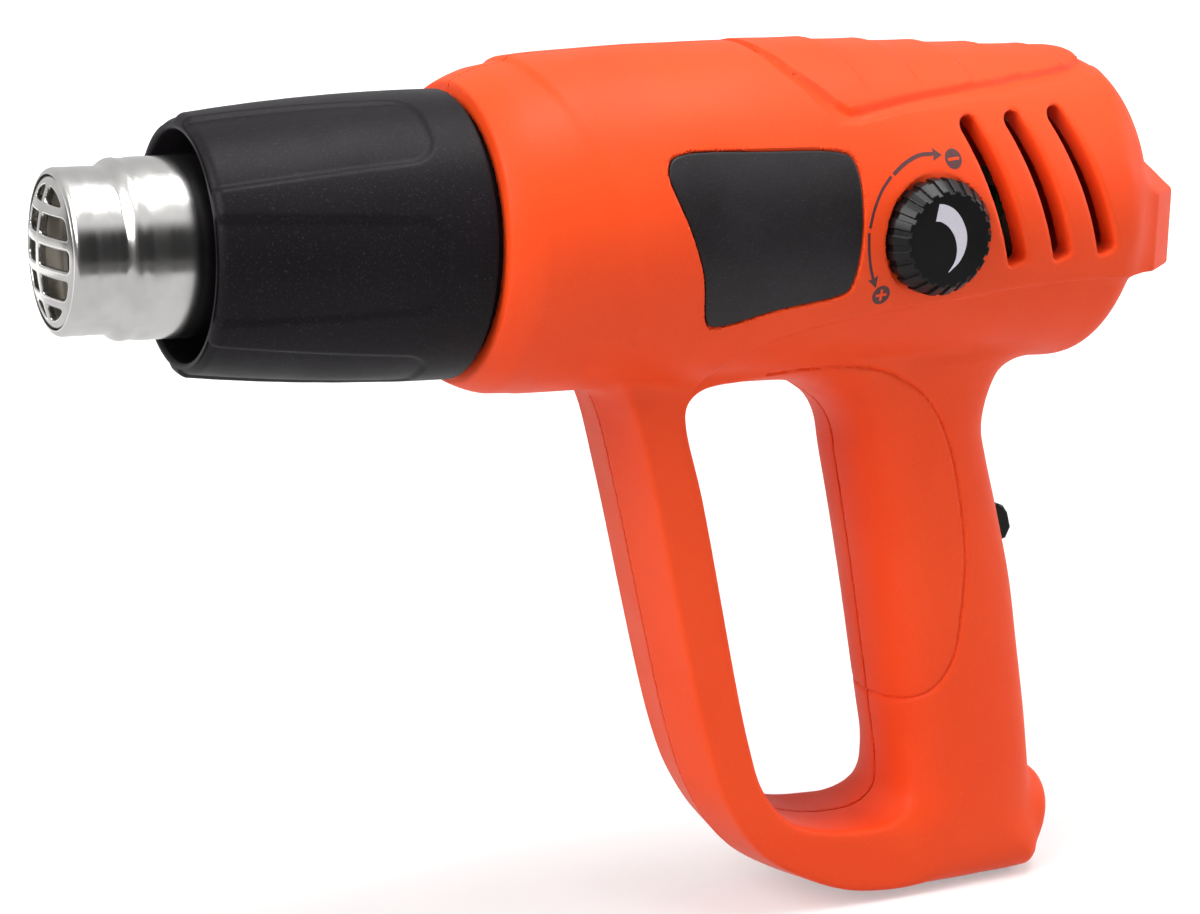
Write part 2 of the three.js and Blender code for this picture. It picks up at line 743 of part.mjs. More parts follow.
function housing() {
  const outer = outerForm();
  const fill = hollowForm(WALL / 2);
  const shell = outer.subtract(hollowForm(WALL));
  const ribs = innerRibs().intersect(fill);
  const common = cutBy(shell.add(ribs), neckCuts(), glandCut(), switchPocket());
  const leftSide = joined(leftPosts(), ...screwBosses(-1)).intersect(fill);
  const rightSide = joined(...screwBosses(1)).intersect(fill);
  const left = cutBy(common.add(leftSide), dialCuts(), plateRecess(), ...airSlots(-1), ...screwHoles(-1));
  const right = cutBy(common.add(rightSide), ...airSlots(1), ...screwHoles(1));
  return [
    left.intersect(block(-60, FAR, -HIGH, SEAM_Y, -FAR, HIGH)),
    right.intersect(block(-60, FAR, SEAM_Y + GAP, HIGH, -FAR, HIGH)),
  ];
}

// Black guard with recessed panels

function guardR(x, inset) {
  const t = (x - GUARD_MOUTH_X) / (GUARD_EDGE_X - GUARD_MOUTH_X);
  const straight = GUARD_MOUTH_R + (GUARD_EDGE_R - GUARD_MOUTH_R) * t;
  return straight + GUARD_SWELL * 4 * t * (1 - t) - inset;
}

function guardOutline(inset, boreR) {
  const outline = [];
  const length = GUARD_EDGE_X - GUARD_MOUTH_X;
  for (let i = 0; i <= 3; i += 1) {
    const x = GUARD_MOUTH_X + GUARD_LIP + ((length - GUARD_LIP) * i) / 3;
    outline.push([x, guardR(x, inset)]);
  }
  const front = [90, 60, 30].map((angle) => [
    GUARD_MOUTH_X + GUARD_LIP * (1 - Math.sin(radians(angle))),
    guardR(GUARD_MOUTH_X + GUARD_LIP, inset) - GUARD_LIP * (1 - Math.cos(radians(angle))),
  ]);
  return [...front, ...outline, ...boreR];
}

const spigotR = NECK_BORE_R - GAP;
const spigotBoreR = spigotR - GUARD_SPIGOT_WALL;

function guard() {
  const bore = [
    [GUARD_EDGE_X, spigotR],
    [GUARD_SPIGOT_END, spigotR],
    [GUARD_SPIGOT_END, spigotBoreR],
    [GUARD_EDGE_X, spigotBoreR],
    [GUARD_MOUTH_X + 8, GUARD_BORE_R],
    [GUARD_MOUTH_X + 1, GUARD_BORE_R],
    [GUARD_MOUTH_X, GUARD_BORE_R + 0.8],
  ];
  const body = turned(guardOutline(0, bore), GUARD_SIDES);
  const floor = turned(guardOutline(PANEL_DEPTH, [[GUARD_EDGE_X, 5], [GUARD_MOUTH_X, 5]]), GUARD_SIDES);
  const panels = [];
  for (let i = 0; i < PANEL_COUNT; i += 1) {
    const turn = new THREE.Matrix4().makeRotationX(radians(PANEL_TURN + (360 * i) / PANEL_COUNT));
    panels.push(moved(panelPrism(), turn).subtract(floor));
  }
  return cutBy(body, ...panels);
}

// One panel's outline seen from the left, narrower toward the back, carried out along Y
function panelPrism() {
  const r = GUARD_EDGE_R;
  const mouth = r * Math.tan(radians(PANEL_MOUTH_ANGLE / 2));
  const back = r * Math.tan(radians(PANEL_BACK_ANGLE / 2));
  const startX = GUARD_MOUTH_X - 4;
  const outline = [
    [startX, mouth],
    ...arcPoints(PANEL_BACK_X - PANEL_CORNER, back - PANEL_CORNER, PANEL_CORNER, 90, 0, 2),
    ...arcPoints(PANEL_BACK_X - PANEL_CORNER, -back + PANEL_CORNER, PANEL_CORNER, 0, -90, 2),
    [startX, -mouth],
  ];
  const outer = outline.map(([x, z]) => new THREE.Vector3(x, -r * 1.1, z * 1.1));
  const inner = outline.map(([x, z]) => new THREE.Vector3(x, -r * 0.7, z * 0.7));
  return loft([inner, outer]);
}

// Steel nozzle: lip, front tube, step and bead, rear tube, flange

const nozzleRearR = NOZZLE_R + NOZZLE_STEP;
const flangeFrontX = GUARD_SPIGOT_END + GAP;

function nozzle() {
  const stepEnd = NOZZLE_STEP_X + NOZZLE_STEP_LENGTH;
  const outside = [
    [NOZZLE_FRONT_X, NOZZLE_R - NOZZLE_LIP],
    [NOZZLE_FRONT_X + NOZZLE_LIP * 0.3, NOZZLE_R - NOZZLE_LIP * 0.3],
    [NOZZLE_FRONT_X + NOZZLE_LIP, NOZZLE_R],
    [NOZZLE_STEP_X, NOZZLE_R],
    [stepEnd, nozzleRearR],
    [stepEnd + 0.9, nozzleRearR + NOZZLE_BEAD],
    [stepEnd + 2.0, nozzleRearR],
    [flangeFrontX, nozzleRearR],
    [flangeFrontX, FLANGE_R],
    [flangeFrontX + FLANGE, FLANGE_R],
    [flangeFrontX + FLANGE, nozzleRearR - NOZZLE_WALL],
    [stepEnd + 0.4, nozzleRearR - NOZZLE_WALL],
    [NOZZLE_STEP_X + 0.4, NOZZLE_R - NOZZLE_WALL],
    [NOZZLE_FRONT_X + NOZZLE_LIP, NOZZLE_R - NOZZLE_WALL],
    [NOZZLE_FRONT_X + NOZZLE_WALL, NOZZLE_R - NOZZLE_LIP],
  ];
  return turned(outside, NOZZLE_SIDES);
}

// Domed grille: a ring, one upright bar and rows of openings on each side of it
const grilleR = NOZZLE_R - NOZZLE_LIP - GAP;

function dome(back, thickness) {
  const sphereR = (grilleR ** 2 + GRILLE_DOME ** 2) / (2 * GRILLE_DOME);
  const rimX = NOZZLE_FRONT_X + 0.2;
  const middleX = rimX - GRILLE_DOME + sphereR;
  const front = [];
  const rear = [];
  for (let i = 0; i <= 2; i += 1) {
    const r = (grilleR * i) / 2;
    const x = middleX - Math.sqrt(sphereR ** 2 - r ** 2);
    front.push([x - back, r]);
    rear.unshift([x + thickness, r]);
  }
  return turned([...front, ...rear], NOZZLE_SIDES);
}

function grille() {
  const openR = grilleR - GRILLE_RIM;
  const cuts = [];
  for (const side of [-1, 1]) {
    for (let row = 0; row < GRILLE_ROWS; row += 1) {
      const middle = (row - (GRILLE_ROWS - 1) / 2) * GRILLE_PITCH;
      const z0 = middle - (GRILLE_PITCH - GRILLE_BAR) / 2;
      const z1 = middle + (GRILLE_PITCH - GRILLE_BAR) / 2;
      const y0 = side < 0 ? -openR : GRILLE_BAR / 2;
      const y1 = side < 0 ? -GRILLE_BAR / 2 : openR;
      const slot = block(NOZZLE_FRONT_X - 9, NOZZLE_FRONT_X + 9, y0, y1, z0, z1);
      const round = rod([NOZZLE_FRONT_X - 9, 0, 0], [NOZZLE_FRONT_X + 9, 0, 0], openR, openR, 24);
      cuts.push(slot.intersect(round));
    }
  }
  return cutBy(dome(0, GRILLE_THICKNESS), ...cuts);
}

// Heater: mica sleeve, finned ceramic core on an end disc, one wound wire

const nozzleBoreR = NOZZLE_R - NOZZLE_WALL;
const micaR = nozzleBoreR - GAP;
const micaBoreR = micaR - MICA_WALL;
const coilR = micaBoreR - 2 * GAP - COIL_WIRE_R;
const finR = coilR - COIL_WIRE_R - GAP;

function micaSleeve() {
  return turned([[MICA_FRONT_X, micaBoreR], [MICA_FRONT_X, micaR], [CORE_DISC_X - GAP, micaR],
    [CORE_DISC_X - GAP, micaBoreR]], NOZZLE_SIDES);
}

function heaterCore() {
  const half = CORE_FIN / 2;
  const upright = block(CORE_FRONT_X, CORE_DISC_X + 1, -half, half, -finR, finR);
  const level = block(CORE_FRONT_X, CORE_DISC_X + 1, -finR, finR, -half, half);
  const disc = rod([CORE_DISC_X, 0, 0], [CORE_DISC_X + CORE_DISC, 0, 0],
    nozzleRearR - NOZZLE_WALL - GAP, nozzleRearR - NOZZLE_WALL - GAP, NOZZLE_SIDES);
  const windows = [];
  for (let i = 0; i < 4; i += 1) {
    const angle = radians(45 + 90 * i);
    const [y, z] = [Math.cos(angle) * finR * 0.62, Math.sin(angle) * finR * 0.62];
    windows.push(rod([CORE_DISC_X - 1, y, z], [CORE_DISC_X + CORE_DISC + 1, y, z], 4.2, 4.2, 10));
  }
  return joined(upright, level, cutBy(disc, ...windows));
}

class Coil extends THREE.Curve {
  getPoint(t) {
    const angle = t * COIL_LOOPS * 2 * Math.PI;
    const x = COIL_START_X + (COIL_END_X - COIL_START_X) * t;
    return new THREE.Vector3(x, coilR * Math.cos(angle), coilR * Math.sin(angle));
  }
}

// The wire as rings of five points set square to its path
function heaterCoil() {
  const curve = new Coil();
  const steps = COIL_LOOPS * COIL_STEPS;
  const rings = [];
  for (let k = 0; k <= steps; k += 1) {
    const t = k / steps;
    const middle = curve.getPoint(t);
    const tangent = curve.getTangent(t);
    const outward = new THREE.Vector3(0, middle.y, middle.z).normalize();
    const side = tangent.clone().cross(outward).normalize();
    outward.copy(side).cross(tangent).normalize();
    rings.push(roundedRing(middle, outward.multiplyScalar(COIL_WIRE_R), side.multiplyScalar(COIL_WIRE_R), 2, 5));
  }
  const pitch = Math.abs(COIL_END_X - COIL_START_X) / COIL_LOOPS;
  console.log(`coil: least gap between turns ${(pitch - 2 * COIL_WIRE_R).toFixed(2)} mm`);
  return loft(rings);
}

// Air duct, motor mount, motor and fan

const ductX = bulkheadX;
const ductEnd = MOUNT_X - GAP;

function airDuct() {
  return turned([
    [ductX, DUCT_NECK_R - DUCT_WALL], [ductX, DUCT_NECK_R], [DUCT_NECK_END, DUCT_NECK_R],
    [DUCT_CONE_END, ductR], [ductEnd, ductR], [ductEnd, ductR - DUCT_WALL],
    [DUCT_CONE_END + 0.4, ductR - DUCT_WALL], [DUCT_NECK_END + 0.4, DUCT_NECK_R - DUCT_WALL],
  ], RING_SIDES);
}

const motorX = mountBackX + GAP;
const motorBackX = motorX + MOTOR_LENGTH;
const cupR = MOTOR_R + GAP;

function motorMount() {
  const ring = turned([[MOUNT_X, ductR - MOUNT_RING], [MOUNT_X, ductR], [mountBackX, ductR],
    [mountBackX, ductR - MOUNT_RING]], RING_SIDES);
  const cup = turned([[mountBackX - 2, SHAFT_R + 3], [mountBackX - 2, cupR + CUP_WALL],
    [motorX + MOTOR_CUP, cupR + CUP_WALL], [motorX + MOTOR_CUP, cupR], [mountBackX, cupR],
    [mountBackX, SHAFT_R + 3]], RING_SIDES);
  const spokes = [];
  for (let i = 0; i < MOUNT_SPOKES; i += 1) {
    const spoke = block(MOUNT_X, mountBackX, -SPOKE / 2, SPOKE / 2, cupR + 0.6, ductR - 1.5);
    spokes.push(moved(spoke, new THREE.Matrix4().makeRotationX((i / MOUNT_SPOKES) * 2 * Math.PI)));
  }
  return joined(ring, cup, ...spokes);
}

const boreR = SHAFT_R + GAP;
const armatureR = MOTOR_R - MOTOR_WALL - RUNNING_GAP;

function motorCan() {
  return turned([[motorX, boreR], [motorX, MOTOR_R], [motorBackX, MOTOR_R], [motorBackX, MOTOR_R - MOTOR_WALL],
    [motorX + MOTOR_WALL, MOTOR_R - MOTOR_WALL], [motorX + MOTOR_WALL, boreR]], RING_SIDES);
}

function motorCap() {
  const x = motorBackX + GAP;
  const end = x + CAP_LENGTH;
  return turned([[x, boreR], [x, MOTOR_R], [end - 1.5, MOTOR_R], [end, MOTOR_R - 1.5], [end, 6],
    [end + 2, 6], [end + 2, boreR]], RING_SIDES);
}

function armature() {
  const x = motorX + MOTOR_WALL + RUNNING_GAP;
  const end = motorBackX - RUNNING_GAP;
  return turned([[x, boreR], [x, 9], [x + 4, armatureR], [end - 12, armatureR], [end - 8, 9], [end, 7],
    [end, boreR]], RING_SIDES);
}

function motorShaft() {
  const front = FAN_FRONT_X - 2;
  return rod([front, 0, 0], [motorBackX + CAP_LENGTH, 0, 0], SHAFT_R, SHAFT_R, 12);
}

// Fan: a hub and twisted blades inside the duct
function fanWheel() {
  const end = FAN_FRONT_X + FAN_LENGTH;
  const hub = turned([[FAN_FRONT_X, boreR], [FAN_FRONT_X, FAN_HUB_R - 2], [FAN_FRONT_X + 2, FAN_HUB_R],
    [end, FAN_HUB_R], [end, boreR]], RING_SIDES);
  const tipR = ductR - DUCT_WALL - RUNNING_GAP;
  const blades = [];
  for (let i = 0; i < FAN_BLADES; i += 1) {
    const rings = [];
    for (let k = 0; k <= 2; k += 1) {
      const r = FAN_HUB_R - 1 + ((tipR - FAN_HUB_R + 1) * k) / 2;
      const twist = radians(BLADE_TWIST + (k / 2) * 20);
      const chord = new THREE.Vector3(Math.cos(twist), Math.sin(twist), 0).multiplyScalar(FAN_LENGTH * 0.48);
      const thick = new THREE.Vector3(-Math.sin(twist), Math.cos(twist), 0).multiplyScalar(BLADE / 2);
      const middle = new THREE.Vector3((FAN_FRONT_X + end) / 2, 0, r);
      rings.push(roundedRing(middle, chord, thick, 2, 6));
    }
    blades.push(moved(loft(rings), new THREE.Matrix4().makeRotationX((i / FAN_BLADES) * 2 * Math.PI)));
  }
  return joined(hub, ...blades);
}

// Dial: knob with a serrated rim, its shaft and the regulator behind the wall

const knobBackY = DIAL_FLOOR_Y - GAP;
const knobFaceY = knobBackY - DIAL_HEIGHT;

function dialKnob() {
  const notchR = DIAL_R - DIAL_NOTCH;
  const outline = [];
  for (let i = 0; i < DIAL_TEETH; i += 1) {
    for (const [share, r] of [[0, DIAL_R], [0.62, DIAL_R], [0.72, notchR], [0.9, notchR]]) {
      const angle = ((i + share) / DIAL_TEETH) * 2 * Math.PI;
      outline.push([DIAL_X + r * Math.cos(angle), DIAL_Z + r * Math.sin(angle)]);
    }
  }
  const rim = sidePrism(outline, knobFaceY, knobBackY);
  const slope = (DIAL_R - DIAL_FACE_R) / (DIAL_HEIGHT - DIAL_SIDE);
  const wideR = DIAL_FACE_R + slope * (DIAL_HEIGHT + 1);
  const chamfer = rod([DIAL_X, knobBackY + 1, DIAL_Z], [DIAL_X, knobFaceY, DIAL_Z], wideR, DIAL_FACE_R, 44);
  const socketR = DIAL_SHAFT_R + GAP;
  const socket = peg(DIAL_X, DIAL_Z, knobBackY + 1, knobFaceY + 2, socketR, 20);
  return rim.intersect(chamfer).subtract(socket);
}

function dialShaft() {
  const from = regulatorBackY - 1.5;
  const to = knobFaceY + 2 + GAP;
  const round = peg(DIAL_X, DIAL_Z, from, to, DIAL_SHAFT_R, 20);
  const flat = block(DIAL_X - 5, DIAL_X + 5, to - 1, knobBackY, DIAL_Z + DIAL_SHAFT_R * 0.6, DIAL_Z + 5);
  return round.subtract(flat);
}

function dialRegulator() {
  const half = REGULATOR / 2;
  const front = padInnerY + GAP;
  const body = block(DIAL_X - half, DIAL_X + half, front, regulatorBackY, DIAL_Z - half, DIAL_Z + half);
  const holeR = DIAL_SHAFT_R + GAP;
  return body.subtract(peg(DIAL_X, DIAL_Z, front - 1, regulatorBackY - 1, holeR, 20));
}

function circuitBoard() {
  const back = boardFrontY + BOARD;
  const board = block(BOARD_X0, BOARD_X1, boardFrontY, back, BOARD_Z0, BOARD_Z1);
  const capacitor = block(BOARD_X1 - 12, BOARD_X1 - 3, back - 0.5, back + 5, BOARD_Z1 - 20, BOARD_Z1 - 8);
  const sinkX = BOARD_X1 - 11;
  const heatSink = block(sinkX, sinkX + 2, boardFrontY - 5, boardFrontY + 0.5, BOARD_Z0 + 6, BOARD_Z1 - 4);
  return joined(board, capacitor, heatSink);
}

// Slide switch

function switchButton() {
  const halfWide = BUTTON_WIDTH / 2;
  const floor = -POCKET_DEPTH + GAP;
  const profile = [
    [floor, buttonLow],
    [BUTTON_PROUD - 1.6, buttonLow],
    [BUTTON_PROUD, buttonLow + 2.4],
    [BUTTON_PROUD, buttonLow + BUTTON_HEIGHT - 2.6],
    [BUTTON_PROUD - 0.9, buttonLow + BUTTON_HEIGHT - 2.6],
    [BUTTON_PROUD - 0.9, buttonLow + BUTTON_HEIGHT - 1.6],
    [BUTTON_PROUD - 1.9, buttonLow + BUTTON_HEIGHT - 1.6],
    [BUTTON_PROUD - 1.9, buttonLow + BUTTON_HEIGHT],
    [floor, buttonLow + BUTTON_HEIGHT],
  ];
  const cap = sidePrism(profile, -halfWide, halfWide);
  const neck = block(switchFront + GAP, 1, -NECK_WIDTH / 2, NECK_WIDTH / 2, -NECK_HEIGHT / 2, NECK_HEIGHT / 2);
  return inSwitchFrame(cap.add(neck));
}

function switchBody() {
  const half = SWITCH_LENGTH / 2;
  const wide = SWITCH_WIDTH / 2;
  const body = block(switchBack, switchFront, -wide, wide, switchMiddle - half, switchMiddle + half);
  const tabs = [-8, 0, 8].map((z) => {
    const middle = switchMiddle + z;
    return block(switchBack - 5, switchBack + 1, -2, 2, middle - 0.5, middle + 0.5);
  });
  return inSwitchFrame(joined(body, ...tabs));
}

// Cord entry, clamp and terminals in the foot of the grip

function cordGland() {
  const start = BOSS_LENGTH - GLAND_LENGTH;
  const flange = rod(onBossAxis(start), onBossAxis(start + GLAND_FLANGE), GLAND_FLANGE_R, GLAND_FLANGE_R, 16);
  const tube = rod(onBossAxis(start), onBossAxis(BOSS_LENGTH - 0.6), GLAND_R, GLAND_R, 16);
  const cordHole = rod(onBossAxis(start - 2), onBossAxis(BOSS_LENGTH + 2), GLAND_BORE_R, GLAND_BORE_R, 16);
  return flange.add(tube).subtract(cordHole);
}

function cordClamp() {
  const half = CLAMP_SPAN / 2 + POST_R;
  const strap = block(CLAMP_X - half, CLAMP_X + half, CLAMP_Y - CLAMP_THICKNESS, CLAMP_Y,
    CLAMP_Z - CLAMP_WIDTH / 2, CLAMP_Z + CLAMP_WIDTH / 2);
  const holes = [-1, 1].map((side) => {
    const x = CLAMP_X + (side * CLAMP_SPAN) / 2;
    return peg(x, CLAMP_Z, CLAMP_Y - 9, CLAMP_Y + 9, CLAMP_SCREW_R + GAP, 12);
  });
  return cutBy(strap, ...holes);
}

function clampScrew(side) {
  const x = CLAMP_X + (side * CLAMP_SPAN) / 2;
  const headY = CLAMP_Y + GAP;
  const head = peg(x, CLAMP_Z, headY, headY + 1.4, CLAMP_HEAD_R, 14);
  const tip = CLAMP_Y - CLAMP_THICKNESS - 5;
  return head.add(peg(x, CLAMP_Z, tip, headY + 0.5, CLAMP_SCREW_R, 12));
}

function terminalBlock() {
  const [long, deep, high] = TERMINAL_SIZE;
  const front = CLAMP_Y - deep;
  const [x0, x1] = [TERMINAL_X - long / 2, TERMINAL_X + long / 2];
  const body = block(x0, x1, front, CLAMP_Y, TERMINAL_Z - high / 2, TERMINAL_Z + high / 2);
  const wells = [-1, 1].map((side) => {
    const x = TERMINAL_X + (side * long) / 4;
    return peg(x, TERMINAL_Z, CLAMP_Y - 4, CLAMP_Y + 2, 2.6, 14);
  });
  return cutBy(body, ...wells);
}

function housingScrew([x, z]) {
  const seat = SCREW_SEAT_Y + GAP;
  const head = rod([x, seat, z], [x, seat + SCREW_HEAD, z], SCREW_HEAD_R, SCREW_HEAD_R * 0.85, 12);
  return head.add(peg(x, z, -SCREW_REACH, seat + 0.5, SCREW_SHANK_R, 8));
}

function namePlate() {
  const outer = barrel(PLATE_RECESS - GAP - PLATE_THICKNESS, plateStations);
  const inner = barrel(PLATE_RECESS - GAP, plateStations);
  return sidePrism(shrunk(PLATE_OUTLINE, GAP), -60, -20).intersect(outer).subtract(inner);
}

const [left, right] = housing();
piece('housing_left', left, orangePlastic());
piece('housing_right', right, orangePlastic());
piece('guard_sleeve', guard(), blackPlastic());
piece('nozzle_tube', nozzle(), steel());
piece('nozzle_grille', grille(), steel());
piece('mica_sleeve', micaSleeve(), mica());
piece('heater_core', heaterCore(), ceramic());
piece('heater_coil', heaterCoil(), wire());
piece('air_duct', airDuct(), greyPlastic());
piece('motor_mount', motorMount(), greyPlastic());
piece('motor_can', motorCan(), darkSteel());
piece('motor_cap', motorCap(), blackPlastic());
piece('motor_armature', armature(), darkSteel());
piece('motor_shaft', motorShaft(), steel());
piece('fan_wheel', fanWheel(), blackPlastic());
piece('circuit_board', circuitBoard(), boardGreen());
piece('dial_regulator', dialRegulator(), greyPlastic());
piece('dial_shaft', dialShaft(), greyPlastic());
piece('dial_knob', dialKnob(), blackPlastic());
piece('name_plate', namePlate(), blackPlastic());
piece('switch_body', switchBody(), blackPlastic());
piece('switch_button', switchButton(), blackPlastic());
piece('cord_gland', cordGland(), rubber());
piece('cord_clamp', cordClamp(), greyPlastic());
piece('clamp_screw_1', clampScrew(-1), steel());
piece('clamp_screw_2', clampScrew(1), steel());
piece('terminal_block', terminalBlock(), greyPlastic());
BOSSES.forEach((place, i) => piece(`housing_screw_${i + 1}`, housingScrew(place), darkSteel()));

export default tool;
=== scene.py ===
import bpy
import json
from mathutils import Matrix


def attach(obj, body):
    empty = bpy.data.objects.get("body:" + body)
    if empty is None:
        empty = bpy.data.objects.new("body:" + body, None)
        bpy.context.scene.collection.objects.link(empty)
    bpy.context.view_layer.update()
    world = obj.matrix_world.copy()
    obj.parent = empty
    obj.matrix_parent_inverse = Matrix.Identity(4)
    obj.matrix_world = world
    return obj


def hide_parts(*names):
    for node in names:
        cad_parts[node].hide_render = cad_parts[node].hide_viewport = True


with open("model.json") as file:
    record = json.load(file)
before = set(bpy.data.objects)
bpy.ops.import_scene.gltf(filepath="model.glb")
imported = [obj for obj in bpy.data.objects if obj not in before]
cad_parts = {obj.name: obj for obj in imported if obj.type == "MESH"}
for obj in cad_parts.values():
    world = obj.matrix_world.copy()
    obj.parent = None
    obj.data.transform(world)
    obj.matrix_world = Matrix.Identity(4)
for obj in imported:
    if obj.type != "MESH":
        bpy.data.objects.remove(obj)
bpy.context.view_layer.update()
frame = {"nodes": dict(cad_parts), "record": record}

# Hot air tool with a closed handle loop, dressed for the photograph.
#
# Sizes are millimetres from the barrel datum, a point on the nozzle's axis just behind
# the black guard, with +X to the back and +Z up. to_world turns them into the frame.
import json
import math
import bpy
import numpy as np
from mathutils import Matrix, Vector

FOOT = np.array([122.0, 0.0, -161.5])
PHOTO_WIDTH, PHOTO_HEIGHT = 1200, 914

# Camera


def set_camera():
    """The photograph's camera: to the nozzle's left, a little above, nearly a side view."""
    turn, rise, roll = (math.radians(a) for a in (27.222, 12.723, 1.585))
    focal, distance, aim_u, aim_v = 3000.0, 641.71, 480.884, 232.318
    back = np.array([-math.sin(turn) * math.cos(rise), -math.cos(turn) * math.cos(rise), math.sin(rise)])
    right = np.cross(-back, [0, 0, 1])
    right /= np.linalg.norm(right)
    up = np.cross(right, -back)
    across = math.cos(roll) * right + math.sin(roll) * up
    upward = -math.sin(roll) * right + math.cos(roll) * up
    place = back * distance - across * (aim_u - PHOTO_WIDTH / 2) / focal * distance
    place = place + upward * (aim_v - PHOTO_HEIGHT / 2) / focal * distance
    data = bpy.data.cameras.new("photo_camera")
    data.sensor_fit = "HORIZONTAL"
    data.sensor_width = 36
    data.lens = 36 * focal / PHOTO_WIDTH
    data.clip_start = 0.01
    camera = bpy.data.objects.new("photo_camera", data)
    rows = [list(axis) for axis in zip(across, upward, back)]
    where = (place - FOOT) / 1000
    camera.matrix_world = Matrix([rows[i] + [where[i]] for i in range(3)] + [[0, 0, 0, 1]])
    bpy.context.collection.objects.link(camera)
    bpy.context.scene.camera = camera


set_camera()

# Shapes from distances: a form is negative inside the solid and positive outside it


def to_world(points):
    return (np.asarray(points, float) - FOOT) / 1000


def smooth_path(points, step=1.0, closed=False):
    """Points on a smooth curve through the given ones, about a step apart."""
    p = np.asarray(points, float)
    if closed:
        p = np.vstack([p[-1:], p, p[:2]])
    else:
        p = np.vstack([2 * p[0] - p[1], p, 2 * p[-1] - p[-2]])
    t = np.r_[0, np.cumsum(np.sqrt(np.linalg.norm(np.diff(p, axis=0), axis=1)))]
    parts = []
    for i in range(1, len(p) - 2):
        t0, t1, t2, t3 = t[i - 1:i + 3]
        count = max(1, int(np.ceil(np.linalg.norm((p[i + 1] - p[i])[:2]) / step)))
        s = (t1 + (t2 - t1) * np.arange(count) / count)[:, None]
        a1 = ((t1 - s) * p[i - 1] + (s - t0) * p[i]) / (t1 - t0)
        a2 = ((t2 - s) * p[i] + (s - t1) * p[i + 1]) / (t2 - t1)
        a3 = ((t3 - s) * p[i + 1] + (s - t2) * p[i + 2]) / (t3 - t2)
        b1 = ((t2 - s) * a1 + (s - t0) * a2) / (t2 - t0)
        b2 = ((t3 - s) * a2 + (s - t1) * a3) / (t3 - t1)
        parts.append(((t2 - s) * b1 + (s - t1) * b2) / (t2 - t1))
    if not closed:
        parts.append(p[-2:-1])
    return np.vstack(parts)


def distance_map(outline, cell=0.4, margin=14.0, closed=True):
    """A function of two coordinates: the distance to an outline, negative inside it."""
    points = np.asarray(outline, float)
    low = points.min(0) - margin
    count = np.ceil((points.max(0) + margin - low) / cell).astype(int) + 1
    u, v = np.meshgrid(*(low[k] + cell * np.arange(count[k]) for k in (0, 1)), indexing="ij")
    best = np.full(u.shape, 1e9)
    inside = np.zeros(u.shape, bool)
    ends = np.roll(points, -1, axis=0) if closed else points[1:]
    for (au, av), (bu, bv) in zip(points, ends):
        du, dv = bu - au, bv - av
        if du == 0 and dv == 0:
            continue
        share = np.clip(((u - au) * du + (v - av) * dv) / (du * du + dv * dv), 0, 1)
        np.minimum(best, (u - au - share * du) ** 2 + (v - av - share * dv) ** 2, out=best)
        if closed and av != bv:
            inside ^= ((av > v) != (bv > v)) & (u < du * (v - av) / dv + au)
    table = np.sqrt(best)
    if closed:
        table = np.where(inside, -table, table)

    def look_up(a, b):
        i = np.clip((a - low[0]) / cell, 0, count[0] - 1.001)
        j = np.clip((b - low[1]) / cell, 0, count[1] - 1.001)
        i0, j0 = i.astype(int), j.astype(int)
        i, j = i - i0, j - j0
        near = table[i0, j0] * (1 - j) + table[i0, j0 + 1] * j
        far = table[i0 + 1, j0] * (1 - j) + table[i0 + 1, j0 + 1] * j
        return near * (1 - i) + far * i

    return look_up


def ramp(value, width):
    """0 where the value is well below zero, 1 well above it, smooth over the width."""
    t = np.clip(value / width + 0.5, 0, 1)
    return t * t * (3 - 2 * t)


def from_table(table, value):
    """The second column of a table where its first column reaches the value."""
    return np.interp(value, *np.array(table).T)


def join(a, b, soft):
    """Both forms together, with a fillet."""
    h = np.clip(0.5 + 0.5 * (b - a) / soft, 0, 1)
    return b * (1 - h) + a * h - soft * h * (1 - h)


def meet(a, b, soft):
    """What both forms share, with a rounded edge."""
    return -join(-a, -b, soft)


def cut(a, b, soft):
    """The first form without the second, with a rounded edge."""
    return -join(-a, b, soft)


def rounded(p, q, radius):
    """A corner rounded by the radius, from the distances past its two sides."""
    p, q = p + radius, q + radius
    return np.minimum(np.maximum(p, q), 0) + np.hypot(np.maximum(p, 0), np.maximum(q, 0)) - radius


def leaned(dx, dz, lean):
    """A side view place in a frame that leans by the angle."""
    c, s = math.cos(lean), math.sin(lean)
    return dx * c + dz * s, -dx * s + dz * c


def box_form(x, y, z, low, high):
    sides = [np.abs(c - (l + h) / 2) - (h - l) / 2 for c, l, h in zip((x, y, z), low, high)]
    return np.maximum(np.maximum(sides[0], sides[1]), sides[2])


PROBE = np.array([[1, 1, 1], [1, -1, -1], [-1, 1, -1], [-1, -1, 1]], float)


def settle(form, points, steps, reach, h=0.03):
    """Moves points straight onto the surface of the form."""
    for _ in range(steps):
        samples = [form(*(points + h * k).T) for k in PROBE]
        value = sum(samples) / 4
        slope = sum(k * s[:, None] for k, s in zip(PROBE, samples)) / (4 * h)
        move = -slope * (value / np.maximum((slope ** 2).sum(1), 0.1))[:, None]
        length = np.linalg.norm(move, axis=1)
        points = points + move * np.minimum(1, reach / np.maximum(length, 1e-9))[:, None]
    return points


